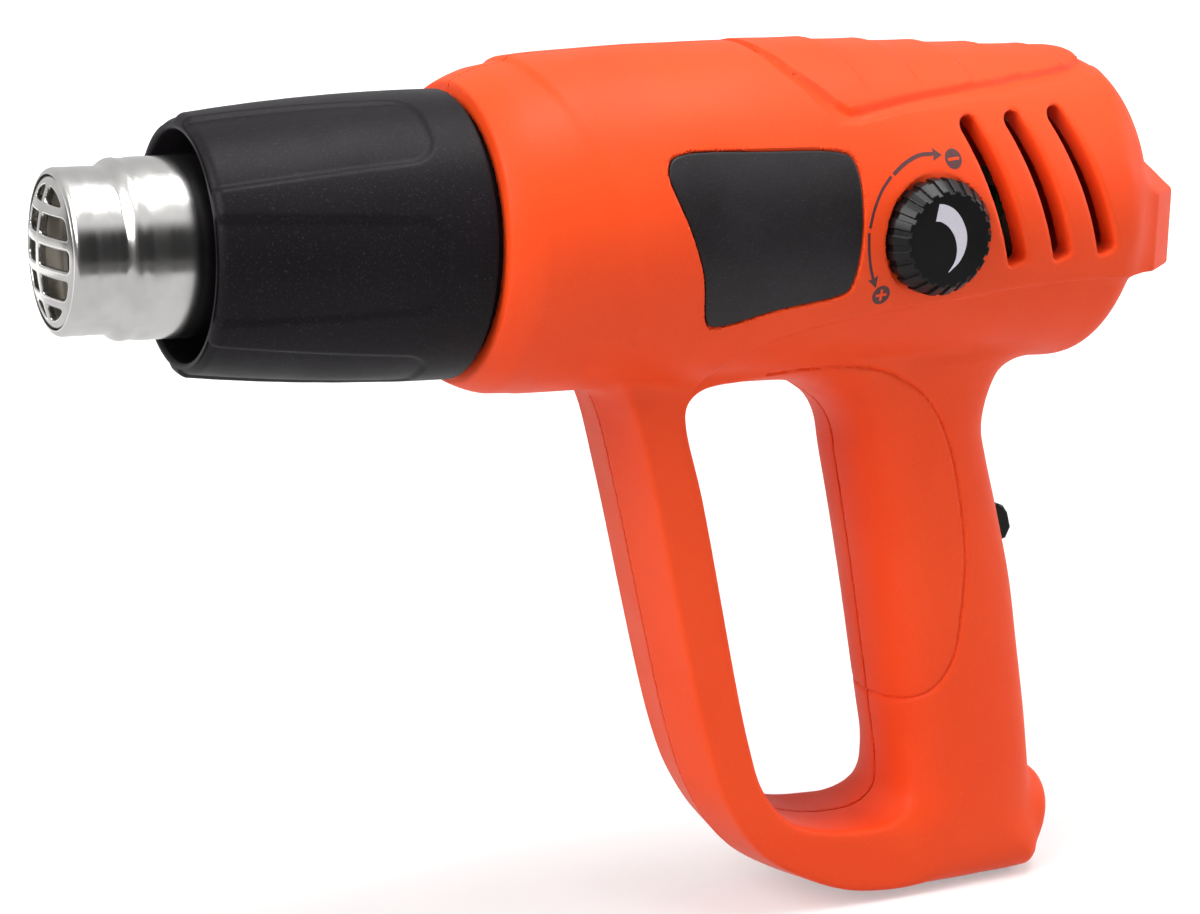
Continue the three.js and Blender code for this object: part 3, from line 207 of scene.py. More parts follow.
def net(form, low, high, cell):
    """A closed net of four-sided faces round the space where the form is negative."""
    axes = [np.arange(l, h + cell, cell) for l, h in zip(low, high)]
    value = np.empty([len(a) for a in axes])
    for i in range(0, len(axes[0]), 12):
        value[i:i + 12] = form(*np.meshgrid(axes[0][i:i + 12], axes[1], axes[2], indexing="ij"))
    inside = value < 0
    corners = sum(
        inside[a:a - 1 or None, b:b - 1 or None, c:c - 1 or None].astype(np.int8)
        for a in (0, 1) for b in (0, 1) for c in (0, 1)
    )
    crossed = (corners > 0) & (corners < 8)
    cells = np.argwhere(crossed)
    number = np.full(crossed.shape, -1)
    number[crossed] = np.arange(len(cells))
    total, hits = np.zeros((len(cells), 3)), np.zeros(len(cells))
    for axis in range(3):
        one, two = [k for k in range(3) if k != axis]
        for a in (0, 1):
            for b in (0, 1):
                start = cells.copy()
                start[:, one] += a
                start[:, two] += b
                end = start.copy()
                end[:, axis] += 1
                va, vb = value[tuple(start.T)], value[tuple(end.T)]
                hit = (va < 0) != (vb < 0)
                point = start[hit].astype(float)
                point[:, axis] += va[hit] / (va[hit] - vb[hit])
                total[hit] += point
                hits[hit] += 1
    points = np.asarray(low) + cell * total / hits[:, None]
    faces = []
    for axis in range(3):
        one, two = (axis + 1) % 3, (axis + 2) % 3
        first = [slice(None)] * 3
        second = [slice(None)] * 3
        first[axis], second[axis] = slice(0, -1), slice(1, None)
        start, end = inside[tuple(first)], inside[tuple(second)]
        edges = np.argwhere(start != end)
        limit = np.array(inside.shape)
        edges = edges[(edges[:, one] > 0) & (edges[:, two] > 0)
                      & (edges[:, one] < limit[one] - 1) & (edges[:, two] < limit[two] - 1)]
        outward = start[tuple(edges.T)]
        ring = []
        for a, b in ((1, 1), (0, 1), (0, 0), (1, 0)):
            place = edges.copy()
            place[:, one] -= a
            place[:, two] -= b
            ring.append(number[tuple(place.T)])
        ring = np.stack(ring, axis=1)
        faces.append(np.where(outward[:, None], ring, ring[:, ::-1]))
    return points, np.vstack(faces)


def halved(points, faces, form, tolerance, shortest):
    """Halves the edges that leave the form's surface, the longest of each face first."""
    size = len(points)
    pairs = np.sort(faces[:, [0, 1, 1, 2, 2, 0]].reshape(-1, 2), axis=1)
    codes, back = np.unique(pairs[:, 0] * size + pairs[:, 1], return_inverse=True)
    side = back.reshape(-1, 3)
    a, b = points[codes // size], points[codes % size]
    length = np.linalg.norm(a - b, axis=1)
    away = np.zeros(len(codes))
    long_enough = length > shortest
    for share in (0.5, 0.25, 0.75):
        spots = (a + (b - a) * share)[long_enough]
        away[long_enough] = np.maximum(away[long_enough], np.abs(form(*spots.T)))
    marked = away > tolerance
    order = np.argmax(length[side], axis=1)
    longest = side[np.arange(len(side)), order]
    while True:
        needed = marked[side].any(axis=1) & ~marked[longest]
        if not needed.any():
            break
        marked[longest[needed]] = True
    number = np.full(len(codes), -1)
    number[marked] = size + np.arange(marked.sum())
    turned = (order[:, None] + np.arange(3)) % 3
    f = np.take_along_axis(faces, turned, 1)
    s = np.take_along_axis(side, turned, 1)
    mark, new = marked[s], number[s]
    v0, v1, v2 = f.T
    m01, m12, m20 = new.T
    parts = [f[~mark[:, 0]]]
    for chosen, corners in (
        (mark[:, 0] & ~mark[:, 2], [(v0, m01, v2)]),
        (mark[:, 0] & mark[:, 2], [(v0, m01, m20), (m20, m01, v2)]),
        (mark[:, 0] & ~mark[:, 1], [(m01, v1, v2)]),
        (mark[:, 0] & mark[:, 1], [(m01, v1, m12), (m01, m12, v2)]),
    ):
        parts += [np.stack([c[chosen] for c in corner], axis=1) for corner in corners]
    middles = (points[codes // size] + points[codes % size])[marked] / 2
    return np.vstack([points, middles]), np.vstack(parts), size


def skin(form, low, high, cell, tolerance=0.02, shortest=0.45, rounds=2):
    """A closed triangle mesh on the surface of a form, finer where the form bends."""
    points, quads = net(form, low, high, cell)
    points = settle(form, points, 4, cell * 0.6)
    one = np.linalg.norm(points[quads[:, 0]] - points[quads[:, 2]], axis=1)
    two = np.linalg.norm(points[quads[:, 1]] - points[quads[:, 3]], axis=1)
    first = (one <= two)[:, None]
    faces = np.vstack([
        np.where(first, quads[:, [0, 1, 2]], quads[:, [0, 1, 3]]),
        np.where(first, quads[:, [0, 2, 3]], quads[:, [1, 2, 3]]),
    ])
    for _ in range(rounds):
        points, faces, old = halved(points, faces, form, tolerance, shortest)
        points[old:] = settle(form, points[old:], 3, cell * 0.4)
    return points, faces


# Materials


def srgb(red, green, blue):
    """A colour written as a picture shows it, 0 to 255, as linear light."""
    shares = [c / 255 for c in (red, green, blue)]
    return [c / 12.92 if c <= 0.04045 else ((c + 0.055) / 1.055) ** 2.4 for c in shares] + [1.0]


def spread(tree, value, start, end, low, high, kind="SMOOTHSTEP"):
    """A value between start and end, carried to the range from low to high."""
    made = tree.nodes.new("ShaderNodeMapRange")
    made.interpolation_type = kind
    limits = {"From Min": start, "From Max": end, "To Min": low, "To Max": high}
    for socket, number in limits.items():
        made.inputs[socket].default_value = number
    tree.links.new(value, made.inputs["Value"])
    return made.outputs["Result"]


class Finish:
    """A material under construction: a Principled shader fed by pattern nodes."""

    def __init__(self, name, roughness=0.5, metallic=0.0, **fixed):
        self.material = bpy.data.materials.new(name)
        self.material.use_nodes = True
        self.tree = self.material.node_tree
        self.shader = self.tree.nodes["Principled BSDF"]
        self.shader.inputs["Roughness"].default_value = roughness
        self.shader.inputs["Metallic"].default_value = metallic
        for socket, value in fixed.items():
            self.shader.inputs[socket.replace("_", " ")].default_value = value
        self.place = self.node("ShaderNodeTexCoord").outputs["Object"]
        self.heights = []

    def node(self, kind, **settings):
        made = self.tree.nodes.new(kind)
        for key, value in settings.items():
            setattr(made, key, value)
        return made

    def link(self, source, target):
        self.tree.links.new(source, target)

    def stretched(self, scale):
        """The place on the piece, stretched, so that a pattern becomes streaks."""
        mapping = self.node("ShaderNodeMapping", vector_type="POINT")
        mapping.inputs["Scale"].default_value = scale
        self.link(self.place, mapping.inputs["Vector"])
        return mapping.outputs["Vector"]

    def noise(self, size_mm, detail=2.0, rough=0.5, place=None):
        made = self.node("ShaderNodeTexNoise")
        made.inputs["Scale"].default_value = 1000 / size_mm
        made.inputs["Detail"].default_value = detail
        made.inputs["Roughness"].default_value = rough
        self.link(place or self.place, made.inputs["Vector"])
        return made.outputs["Fac"]

    def grains(self, size_mm, feature="F1"):
        made = self.node("ShaderNodeTexVoronoi", feature=feature)
        made.inputs["Scale"].default_value = 1000 / size_mm
        self.link(self.place, made.inputs["Vector"])
        return made.outputs["Distance"]

    def between(self, value, low, high, to_low=0.0, to_high=1.0):
        return spread(self.tree, value, low, high, to_low, to_high)

    def colours(self, share, first, second):
        """A colour that goes from the first to the second with the share."""
        made = self.node("ShaderNodeMix", data_type="RGBA")
        for socket, value in (("A_Color", first), ("B_Color", second)):
            target = next(s for s in made.inputs if s.identifier == socket)
            if isinstance(value, list):
                target.default_value = value
            else:
                self.link(value, target)
        self.link(share, next(s for s in made.inputs if s.identifier == "Factor_Float"))
        return next(s for s in made.outputs if s.identifier == "Result_Color")

    def base(self, colour):
        if isinstance(colour, list):
            self.shader.inputs["Base Color"].default_value = colour
        else:
            self.link(colour, self.shader.inputs["Base Color"])

    def rough(self, value):
        self.link(value, self.shader.inputs["Roughness"])

    def sheen(self, size_mm, detail, low, high):
        """A roughness that wanders between two values over the piece."""
        self.rough(self.between(self.noise(size_mm, detail), 0.3, 0.7, low, high))

    def bump(self, height, depth_mm, strength=1.0):
        made = self.node("ShaderNodeBump")
        made.inputs["Distance"].default_value = depth_mm / 1000
        made.inputs["Strength"].default_value = strength
        self.link(height, made.inputs["Height"])
        if self.heights:
            self.link(self.heights[-1], made.inputs["Normal"])
        self.heights.append(made.outputs["Normal"])
        self.link(made.outputs["Normal"], self.shader.inputs["Normal"])


def moulded_plastic(name, colour, darker, lighter, roughness, grain_mm, grain_depth, specular=0.5):
    """Spark-eroded matte plastic: fine grain, faint flow marks, slightly uneven sheen."""
    made = Finish(name, roughness, Specular_IOR_Level=specular)
    cloud = made.noise(38, detail=3)
    speck = made.noise(grain_mm * 1.6, detail=2)
    body = made.colours(made.between(cloud, 0.35, 0.65), darker, colour)
    made.base(made.colours(made.between(speck, 0.55, 0.8, 0, 0.6), body, lighter))
    made.sheen(16, 4, roughness - 0.04, roughness + 0.04)
    made.bump(made.noise(grain_mm, detail=3, rough=0.6), grain_depth, 0.8)
    made.bump(made.noise(grain_mm * 7, detail=2), grain_depth * 1.6, 0.35)
    return made.material


def drawn_steel(name, roughness=0.19):
    """Bright stainless steel drawn to a tube, with faint rings from polishing round the X axis."""
    made = Finish(name, roughness, metallic=1.0)
    rings = made.noise(2.2, detail=4, place=made.stretched((1, 0.02, 0.02)))
    cloud = made.noise(9, detail=3)
    made.base(made.colours(made.between(cloud, 0.3, 0.7), srgb(200, 198, 196), srgb(212, 210, 208)))
    made.rough(made.between(rings, 0.35, 0.68, roughness * 0.85, roughness * 1.25))
    made.bump(rings, 0.003, 0.5)
    made.bump(made.noise(0.6, detail=2), 0.0006, 0.4)
    return made.material


def zinc_steel(name, dark, light, roughness=0.38):
    """Dull zinc-plated steel with small spangles."""
    made = Finish(name, roughness, metallic=1.0)
    spangle = made.grains(1.3)
    made.base(made.colours(made.between(spangle, 0.1, 0.7), dark, light))
    made.sheen(3.0, 4, roughness - 0.1, roughness + 0.12)
    made.bump(made.noise(0.5, detail=3), 0.01, 0.6)
    return made.material


def soft_rubber(name):
    made = Finish(name, 0.62, Specular_IOR_Level=0.35)
    dust = made.noise(1.1, detail=4)
    made.base(made.colours(made.between(dust, 0.5, 0.75), srgb(31, 30, 31), srgb(47, 46, 46)))
    made.sheen(6, 2, 0.54, 0.7)
    made.bump(made.noise(0.35, detail=2), 0.02, 0.7)
    return made.material


def wound_mica(name):
    made = Finish(name, 0.42, Specular_IOR_Level=0.45)
    flakes = made.grains(3.2)
    streaks = made.noise(7, detail=4, place=made.stretched((0.2, 1, 1)))
    body = made.colours(made.between(flakes, 0.15, 0.8), srgb(150, 146, 138), srgb(178, 174, 164))
    made.base(made.colours(made.between(streaks, 0.5, 0.75), body, srgb(126, 120, 108)))
    made.rough(made.between(flakes, 0.1, 0.7, 0.3, 0.55))
    made.bump(flakes, 0.05, 0.5)
    return made.material


def fired_ceramic(name):
    made = Finish(name, 0.78, Specular_IOR_Level=0.3)
    pores = made.grains(0.55)
    cloud = made.noise(8, detail=4)
    made.base(made.colours(made.between(cloud, 0.35, 0.7), srgb(240, 235, 224), srgb(222, 214, 198)))
    made.sheen(2, 2, 0.7, 0.88)
    made.bump(made.between(pores, 0.0, 0.35), 0.04, 0.7)
    return made.material


def heat_tinted_wire(name):
    """Resistance wire with a brown and blue oxide skin along its length."""
    made = Finish(name, 0.4, metallic=1.0)
    along = made.noise(12, detail=2, place=made.stretched((1, 0.3, 0.3)))
    body = made.colours(made.between(along, 0.35, 0.55), srgb(148, 138, 124), srgb(112, 96, 88))
    made.base(made.colours(made.between(along, 0.55, 0.72), body, srgb(92, 98, 116)))
    made.sheen(0.8, 3, 0.3, 0.55)
    made.bump(made.noise(0.3, detail=2), 0.01, 0.6)
    return made.material


def shade_darkened_board_mask(name):
    made = Finish(name, 0.32, Coat_Weight=0.3, Coat_Roughness=0.12)
    weave = made.node("ShaderNodeTexWave", wave_type="BANDS", bands_direction="X")
    weave.inputs["Scale"].default_value = 420
    weave.inputs["Distortion"].default_value = 1.5
    made.link(made.place, weave.inputs["Vector"])
    tracks = made.grains(4.5, feature="DISTANCE_TO_EDGE")
    # Painted shade: the greens of the board and its tracks are darkened well below a usual solder mask,
    # standing in for the dim inside seen through the slots. The green mask itself is the board's real
    # colour.
    body = made.colours(made.between(weave.outputs["Fac"], 0.2, 0.8), srgb(12, 38, 27), srgb(15, 44, 31))
    made.base(made.colours(made.between(tracks, 0.04, 0.07), srgb(25, 62, 42), body))
    made.sheen(5, 3, 0.26, 0.4)
    made.bump(made.between(tracks, 0.03, 0.08), 0.03, 0.5)
    return made.material


def satin_film(name):
    """Bare black label film: satin, with a very fine silvery grain."""
    made = Finish(name, 0.42, Specular_IOR_Level=0.28)
    sparkle = made.noise(0.22, detail=1)
    cloud = made.noise(20, detail=3)
    body = made.colours(made.between(cloud, 0.3, 0.7), srgb(30, 27, 29), srgb(36, 33, 36))
    made.base(made.colours(made.between(sparkle, 0.6, 0.76, 0, 0.8), body, srgb(66, 63, 68)))
    made.sheen(11, 3, 0.36, 0.46)
    made.bump(sparkle, 0.012, 0.6)
    return made.material


def ink(name, dark, light, roughness=0.5):
    """Pad-printed ink, slightly uneven where the plastic's grain shows through."""
    made = Finish(name, roughness)
    made.base(made.colours(made.between(made.noise(0.35, detail=3), 0.45, 0.8), dark, light))
    made.sheen(1.5, 2, roughness - 0.06, roughness + 0.08)
    made.bump(made.noise(0.25, detail=2), 0.01, 0.6)
    return made.material


MATERIALS = {
    "orange_plastic": moulded_plastic("orange_matte_plastic", srgb(241, 76, 27), srgb(238, 72, 24),
                                      srgb(244, 88, 40), 0.5, 0.36, 0.03, 0.17),
    "black_plastic": moulded_plastic("black_matte_plastic", srgb(27, 24, 28), srgb(24, 21, 24),
                                     srgb(58, 54, 60), 0.44, 0.3, 0.035, 0.09),
    "knob_plastic": moulded_plastic("black_knob_plastic", srgb(20, 19, 20), srgb(17, 16, 17),
                                    srgb(30, 28, 30), 0.36, 0.3, 0.01, 0.25),
    "grey_plastic": moulded_plastic("grey_moulded_plastic", srgb(158, 160, 162), srgb(146, 148, 151),
                                    srgb(176, 178, 180), 0.5, 0.5, 0.02),
    "polished_steel": drawn_steel("polished_steel_tube"),
    "dark_steel": zinc_steel("dull_zinc_steel", srgb(118, 118, 122), srgb(150, 150, 153)),
    "black_rubber": soft_rubber("black_soft_rubber"),
    "label_film": satin_film("bare_black_film"),
    "circuit_board": shade_darkened_board_mask("green_board_mask_painted_shade"),
    "mica": wound_mica("wound_mica_sheet"),
    "ceramic": fired_ceramic("unglazed_ceramic"),
    "heater_wire": heat_tinted_wire("oxidised_heater_wire"),
    "print_ink": ink("dark_print_ink", srgb(78, 36, 40), srgb(96, 50, 48)),
    "pale_inlay": ink("pale_dial_inlay", srgb(205, 201, 212), srgb(194, 190, 202), 0.4),
}


def new_piece(name, points, faces, material, body="tool", replaces=(), sharp=38):
    """A finished mesh piece from datum millimetres, on its body and in its finish."""
    mesh = bpy.data.meshes.new(name)
    where = to_world(points)
    groups = faces if isinstance(faces, list) else [faces]
    groups = [np.asarray(group, np.int32) for group in groups if len(group)]
    mesh.vertices.add(len(where))
    mesh.vertices.foreach_set("co", where.astype(np.float32).ravel())
    flat = np.concatenate([g.ravel() for g in groups])
    sizes = np.concatenate([np.full(len(g), g.shape[1], np.int32) for g in groups])
    mesh.loops.add(len(flat))
    mesh.loops.foreach_set("vertex_index", flat)
    mesh.polygons.add(len(sizes))
    mesh.polygons.foreach_set("loop_start", np.r_[0, np.cumsum(sizes)[:-1]].astype(np.int32))
    mesh.update(calc_edges=True)
    mesh.validate()
    mesh.shade_smooth()
    mesh.set_sharp_from_angle(angle=math.radians(sharp))
    piece = bpy.data.objects.new(name, mesh)
    bpy.context.collection.objects.link(piece)
    dress(piece, material, body)
    if replaces:
        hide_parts(*replaces)


def dress(piece, material, body="tool"):
    piece.data.materials.clear()
    piece.data.materials.append(MATERIALS[material])
    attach(piece, body)


# Orange housing: its sizes and its form

# Barrel stations: [x, half width, half height, middle's height, hang of the underside]
BARREL = [
    [-9.7, 33.1, 33.0, 0.3, 0], [-8.2, 34.1, 33.8, 0.4, 0], [-5.4, 35.2, 34.7, 0.5, 0],
    [-2.5, 35.9, 35.3, 0.6, 0], [0, 36.3, 35.6, 0.8, 0], [3.5, 36.8, 36.0, 1.0, 0],
    [5.5, 37.0, 36.3, 1.1, 0], [12, 37.3, 36.7, 1.4, 0], [20, 37.6, 37.0, 1.6, 0],
    [40, 38.0, 37.7, 1.9, 0.3], [65, 38.2, 37.6, 1.9, 1.2], [92, 38.3, 36.9, 1.8, 1.8],
    [118, 37.6, 36.0, 1.7, 1.9], [137, 36.6, 35.3, 1.6, 2.0], [146, 35.8, 34.7, 2.0, 2.8],
    [150.5, 32.8, 32.0, 2.4, 2.8], [153.6, 29.0, 28.2, 2.5, 2.4], [156, 23.4, 22.6, 2.5, 1.6],
    [157.6, 15.6, 14.8, 2.5, 0.8], [158.3, 7.0, 6.4, 2.5, 0],
]
CROWN_RISE, CROWN_START, CROWN_RUN = 0.65, 45, 20

# Half widths of the loop's section at its grip and at its front bar, by height [z, half width]
GRIP_WIDTH = [[-25.5, 19.0], [-31.2, 21.6], [-34, 21.2], [-37.6, 20.6], [-42.6, 20.0], [-48.5, 19.6],
              [-55, 19.3], [-68, 18.8], [-86, 18.4], [-104, 18.0], [-120, 17.4], [-133, 16.8],
              [-144, 16.4], [-154, 16.0], [-161.5, 15.6]]
BAR_WIDTH = [[-26, 16.2], [-34, 15.7], [-43, 15.4], [-161.5, 15.4]]
BAR_KEEL, BAR_HALF_WIDTH, BAR_EDGE, BAR_REAR_EDGE = 2.3, 15.4, 1.2, 2.0

# The bar's section passes into the grip's behind a leaning line through this place, shifted by height
GRIP_LINE_X, GRIP_LINE_Z, GRIP_LINE_LEAN = 67, -43, 0.2273
GRIP_SHIFT, GRIP_BEHIND, GRIP_BLEND = [[100, -10], [130, 0], [150, 6]], 12, 26
GRIP_POWER, FOOT_POWER, FOOT_TOP, FOOT_BLEND = 2.5, 1.3, -150, 14

# Handle loop in side view, [x, z]: its outer edge and the hole for the fingers
LOOP_OUTSIDE = [
    [20, -8], [22.5, -26], [26.0, -34], [28.0, -39], [29.8, -43.5], [34.4, -60], [50.2, -120],
    [56.0, -133.8], [65.6, -146.8], [79.0, -155.2], [91.0, -159.8], [104, -161.5], [117, -161.5],
    [131, -161.5],
    [141, -161.5], [145.8, -160.9], [148.2, -158.0], [148.8, -153], [147.8, -144], [145.8, -133],
    [143.5, -120], [140.2, -104], [136.5, -86], [131.2, -68], [127.0, -55], [125.4, -48.5],
    [126.3, -42.6], [128.5, -37.6], [131.8, -34.0], [136.6, -30.4], [146, -23.5], [150, -8],
]
LOOP_HOLE = [
    [43.8, -38.6], [44.0, -43.2], [48.6, -59.4], [62.9, -118], [67.5, -130.4], [74.8, -138.5],
    [84.5, -142], [94.0, -143.0], [101.5, -142.2], [106.2, -138.4], [106.4, -131.0], [104.4, -120],
    [101.5, -105], [98.0, -87], [94.0, -68], [91.2, -55.5], [90.0, -49.5], [88.0, -45.4],
    [85.0, -42.0], [81.6, -39.6], [78.0, -37.0], [72, -33.4], [60, -32.4], [50.0, -33.6], [46.4, -35.4],
]

# Stand block round the back: [x, half width, height of the side's top, height of the ridge]
STAND = [[130, 30, 18.0, 20.0], [144.7, 33, 12.0, 16.6], [156.6, 29.4, 7.0, 15.0], [167.6, 20, 6.2, 6.3]]
STAND_FLOOR, STAND_RIDGE, STAND_START, STAND_END = -11.6, 19.0, 130, 167.6
STAND_EDGE, STAND_SLANT = 0.9, 0.88

# Fillets between the barrel and the stand, the loop and the cord boss, and the barrel and the loop
STAND_FILLET, BOSS_FILLET, LOOP_FILLET = 2.5, 3.0, 4.0

BOSS_AT = (138.0, -147.0)
BOSS_TILT = math.radians(8)
BOSS_R, BOSS_LENGTH, BOSS_ROUND = 10.6, 13.8, 4.8

# Drawn lines of the housing
COLLAR_RIDGE, COLLAR_SLOPE, COLLAR_ROUND = -1.5, 0.16, 0.5
CREASE = [[5.2, 36.5], [5.4, 35.5], [8.1, 28.8], [11.5, 18.5], [15.6, 8.3], [18.7, -2.3],
          [23, -16.1], [35, -36]]
CREASE_DEPTH = [[-34, 0.3], [0, 0.5], [26, 0.6], [35, 0.95]]
CREASE_WIDTH = [[0, 4.0], [30, 3.2], [36, 1.6]]
BAND_EDGE = [[174, -11.4], [148, -11.8], [128, -11.8], [112, -12.8], [95, -14.8],
             [80, -16.4], [66, -18.8], [54, -22.8], [48, -27.5], [44.5, -35]]
BAND_STEP = 0.9
CHEVRON = [[60.6, 0], [61.4, 9], [64.4, 18.5], [71.0, 27.0], [73.4, 28.4], [77.0, 28.0], [88, 26.0],
           [102, 23.6], [117, 20.8], [129.5, 17.6], [140, 14.6], [145, 11.0], [147, 0]]
CHEVRON_MOAT = [[58.8, 0], [59.4, 9], [61.4, 18.5], [66.5, 27.0], [69.8, 30.2], [75.0, 30.4],
                [87, 28.6], [101, 26.6], [115, 24.4], [127, 22.2], [138, 19.9], [148, 16.5], [153, 0]]
PANEL_RISE, BORDER_EDGE, BORDER_SLOPE = 0.25, 0.3, 0.7
RIB_FIRST, RIB_PITCH, RIB_COUNT, RIB_RISE, RIB_DROP = 78.8, 14.8, 4, 0.55, 0.045
RIB_SWEEP, RIB_HALF, RIB_FADE = 0.06, 22, 12
GRIP_GROOVE = [[62, -31.6], [70.3, -30.8], [82.8, -30.9], [92.4, -32.9], [101.2, -38.1], [107.0, -45.0],
               [111.0, -53.4], [114.4, -65.5], [116.6, -78.7], [116.6, -92.0], [115.2, -103.3],
               [110.8, -110.8], [104.4, -114.0], [97.6, -114.8]]
GROOVE_DEPTH, GROOVE_WIDTH = 0.65, 0.42
PLATE = [[26.4, 15.5], [27.4, 18.6], [30.6, 19.9], [50, 20.0], [68, 19.4], [71, 18.4], [72.2, 15.6],
         [72.6, 4], [71.8, -8], [70.8, -10.8], [68, -12.0], [54, -14.4], [41, -17.6], [38.2, -17.2],
         [36.6, -14.6], [34.2, -5], [31, 3.5]]
PLATE_RECESS, PLATE_EDGE = 0.9, 0.35
DIAL = (91.4, 0.6)
DIAL_RECESS_R, DIAL_FLOOR_Y, DIAL_EDGE = 13.3, -36.2, 0.4
SLOT_COUNT, SLOT_START, SLOT_PITCH, SLOT_RISE = 3, (108.2, 9.3), 12.3, 0.65
SLOT_HALF, SLOT_HALF_WIDTH, SLOT_LEAN = 16.9, 2.45, math.radians(20)
SLOT_COLLAR, SLOT_COLLAR_WALL, SLOT_EDGE, SLOT_INNER_Y = 3.4, 1.8, 1.3, 18
SLOT_CORNERS = 2.2, 1.3
SCREWS = [[16, 30.5], [16, -29.5], [139, 24], [134, -23], [124, -104], [112, -153.6], [39.9, -52.4]]
SCREW_SEAT_Y, SCREW_HOLE_R, SCREW_BOSS_R = 9.3, 3.3, 4.8
SWITCH_AT, SWITCH_LEAN = (133.3, -75.0), math.radians(16)
SWITCH_OPENING = (-1.4, -5.8, -4.8), (12, 5.8, 12.8)
SWITCH_SLOT = (-9, -2.5, -2.3), (0, 2.5, 10.3)

# Walls, the face that the barrel's hollow starts at, and the seats in it: [radius, where it ends]
WALL, STAND_WALL, FRONT_WALL_X = 2.5, 4.4, 4.8
COLLAR_BORES = (28.3, 0.9), (25.9, 2.4), (21.0, 5.5)
DIAL_SEAT_R, DIAL_SEAT_Y, DIAL_BORE_R = 15.8, -32.8, 3.6
GLAND_HOLE_R, GLAND_SEAT_R, GLAND_SEAT_END = 6.3, 7.9, 4.1

# The two halves meet beside the middle; round the handle the dial's half leaves a gap at the outside
LEFT_END_Y, RIGHT_END_Y = 0.7, 0.8
SEAM_GAP, SEAM_DEPTH, SEAM_TOP = 0.45, 1.3, -37
SEAM_Y, SEAM_HALF, SEAM_DIP = 0.5, 0.7, 0.2

# Boxes that hold the two halves
LEFT_BOX = (-11.3, -40.3, -163.2), (169.5, 2.4, 42.4)
RIGHT_BOX = (-11.3, -0.9, -163.2), (169.5, 40.3, 42.4)


def with_mirror(outline):
    """An outline that starts and ends on the middle line, closed by its mirror image."""
    return np.vstack([outline, np.array(outline[-2:0:-1]) * [1, -1]])


stations = smooth_path(BARREL, 1.0)
profile = np.vstack([[[-9.7, 0.0]], stations[:, [0, 2]], [[158.3, 0.0]]])
profile_map = distance_map(np.vstack([profile, profile[::-1] * [1, -1]]), 0.4, 12)
outside_map = distance_map(smooth_path(LOOP_OUTSIDE, 2.0, closed=True), 0.5, 30)
hole_map = distance_map(smooth_path(LOOP_HOLE, 2.0, closed=True), 0.5, 60)
band_line = smooth_path(BAND_EDGE, 1.5)
band_map = distance_map(np.vstack([band_line, [[44.5, -70], [200, -70], [200, -11.4]]]), 0.4, 20)
chevron_map = distance_map(with_mirror(CHEVRON), 0.3, 12)
moat_map = distance_map(with_mirror(CHEVRON_MOAT), 0.3, 12)
groove_map = distance_map(smooth_path(GRIP_GROOVE, 1.5), 0.3, 6, closed=False)
plate_line = smooth_path(PLATE, 1.0, closed=True)
plate_map = distance_map(plate_line, 0.3, 8)


def dial_radius(x, z):
    return np.hypot(x - DIAL[0], z - DIAL[1])


def barrel_form(x, y, z):
    wide, high, middle, hang = (np.interp(x, stations[:, 0], stations[:, k]) for k in (1, 2, 3, 4))
    crown = CROWN_RISE * np.clip((x - CROWN_START) / CROWN_RUN, 0, 1)
    up = z - middle
    up = np.where(up < 0, up * high / (high + hang), up * high / (high + crown))
    return profile_map(x, np.hypot(y * high / wide, up))


def loop_form(x, y, z):
    """Handle loop: rounded at the grip, with a keeled front and crisp edges at the front bar."""
    deep, off = -outside_map(x, z), hole_map(x, z)
    half = np.maximum((deep + off) / 2, 2.0)
    across = np.abs(off - deep) / 2
    past_hole = x - (GRIP_LINE_X + (GRIP_LINE_Z - z) * GRIP_LINE_LEAN)
    grip = ramp(past_hole - from_table(GRIP_SHIFT, -z) - GRIP_BEHIND, GRIP_BLEND)
    wide = (1 - grip) * from_table(np.abs(BAR_WIDTH), -z)
    wide = wide + grip * from_table(np.abs(GRIP_WIDTH), -z)
    power = GRIP_POWER + FOOT_POWER * ramp(FOOT_TOP - z, FOOT_BLEND)
    full = ((across / half) ** power + (np.abs(y) / wide) ** power) ** (1 / power)
    soft = (full - 1) * np.minimum(half, wide)
    front = BAR_KEEL * np.abs(y) / BAR_HALF_WIDTH - deep
    edged = meet(meet(front, np.abs(y) - wide, BAR_EDGE), -off, BAR_REAR_EDGE)
    return grip * soft + (1 - grip) * edged


def stand_form(x, y, z):
    side, top, ridge = (from_table(np.array(STAND)[:, [0, k]], x) for k in (1, 2, 3))
    flank = (np.abs(y) - side) * STAND_SLANT
    lean = (top - ridge) / (side - STAND_RIDGE - 0.01)
    slant = (z - ridge - np.maximum(np.abs(y) - STAND_RIDGE, 0) * lean) * STAND_SLANT
    block = meet(meet(flank, slant, STAND_EDGE), STAND_FLOOR - z, STAND_EDGE)
    block = meet(block, x - STAND_END, STAND_EDGE)
    return np.maximum(block, STAND_START - x)


def on_boss(x, z):
    """Distance along the cord boss's axis, and height above it in side view."""
    return leaned(x - BOSS_AT[0], z - BOSS_AT[1], -BOSS_TILT)


def boss_form(x, y, z):
    along, up = on_boss(x, z)
    plug = rounded(np.hypot(y, up) - BOSS_R, along - BOSS_LENGTH, BOSS_ROUND)
    return np.maximum(plug, -8 - along)


def joined_body(barrel, x, y, z):
    """The barrel's form together with the stand, the loop and the boss."""
    body = join(barrel, stand_form(x, y, z), STAND_FILLET)
    handle = join(loop_form(x, y, z), boss_form(x, y, z), BOSS_FILLET)
    return join(body, handle, LOOP_FILLET)


def plain_form(x, y, z):
    """The closed housing without its drawn lines."""
    return joined_body(barrel_form(x, y, z), x, y, z)


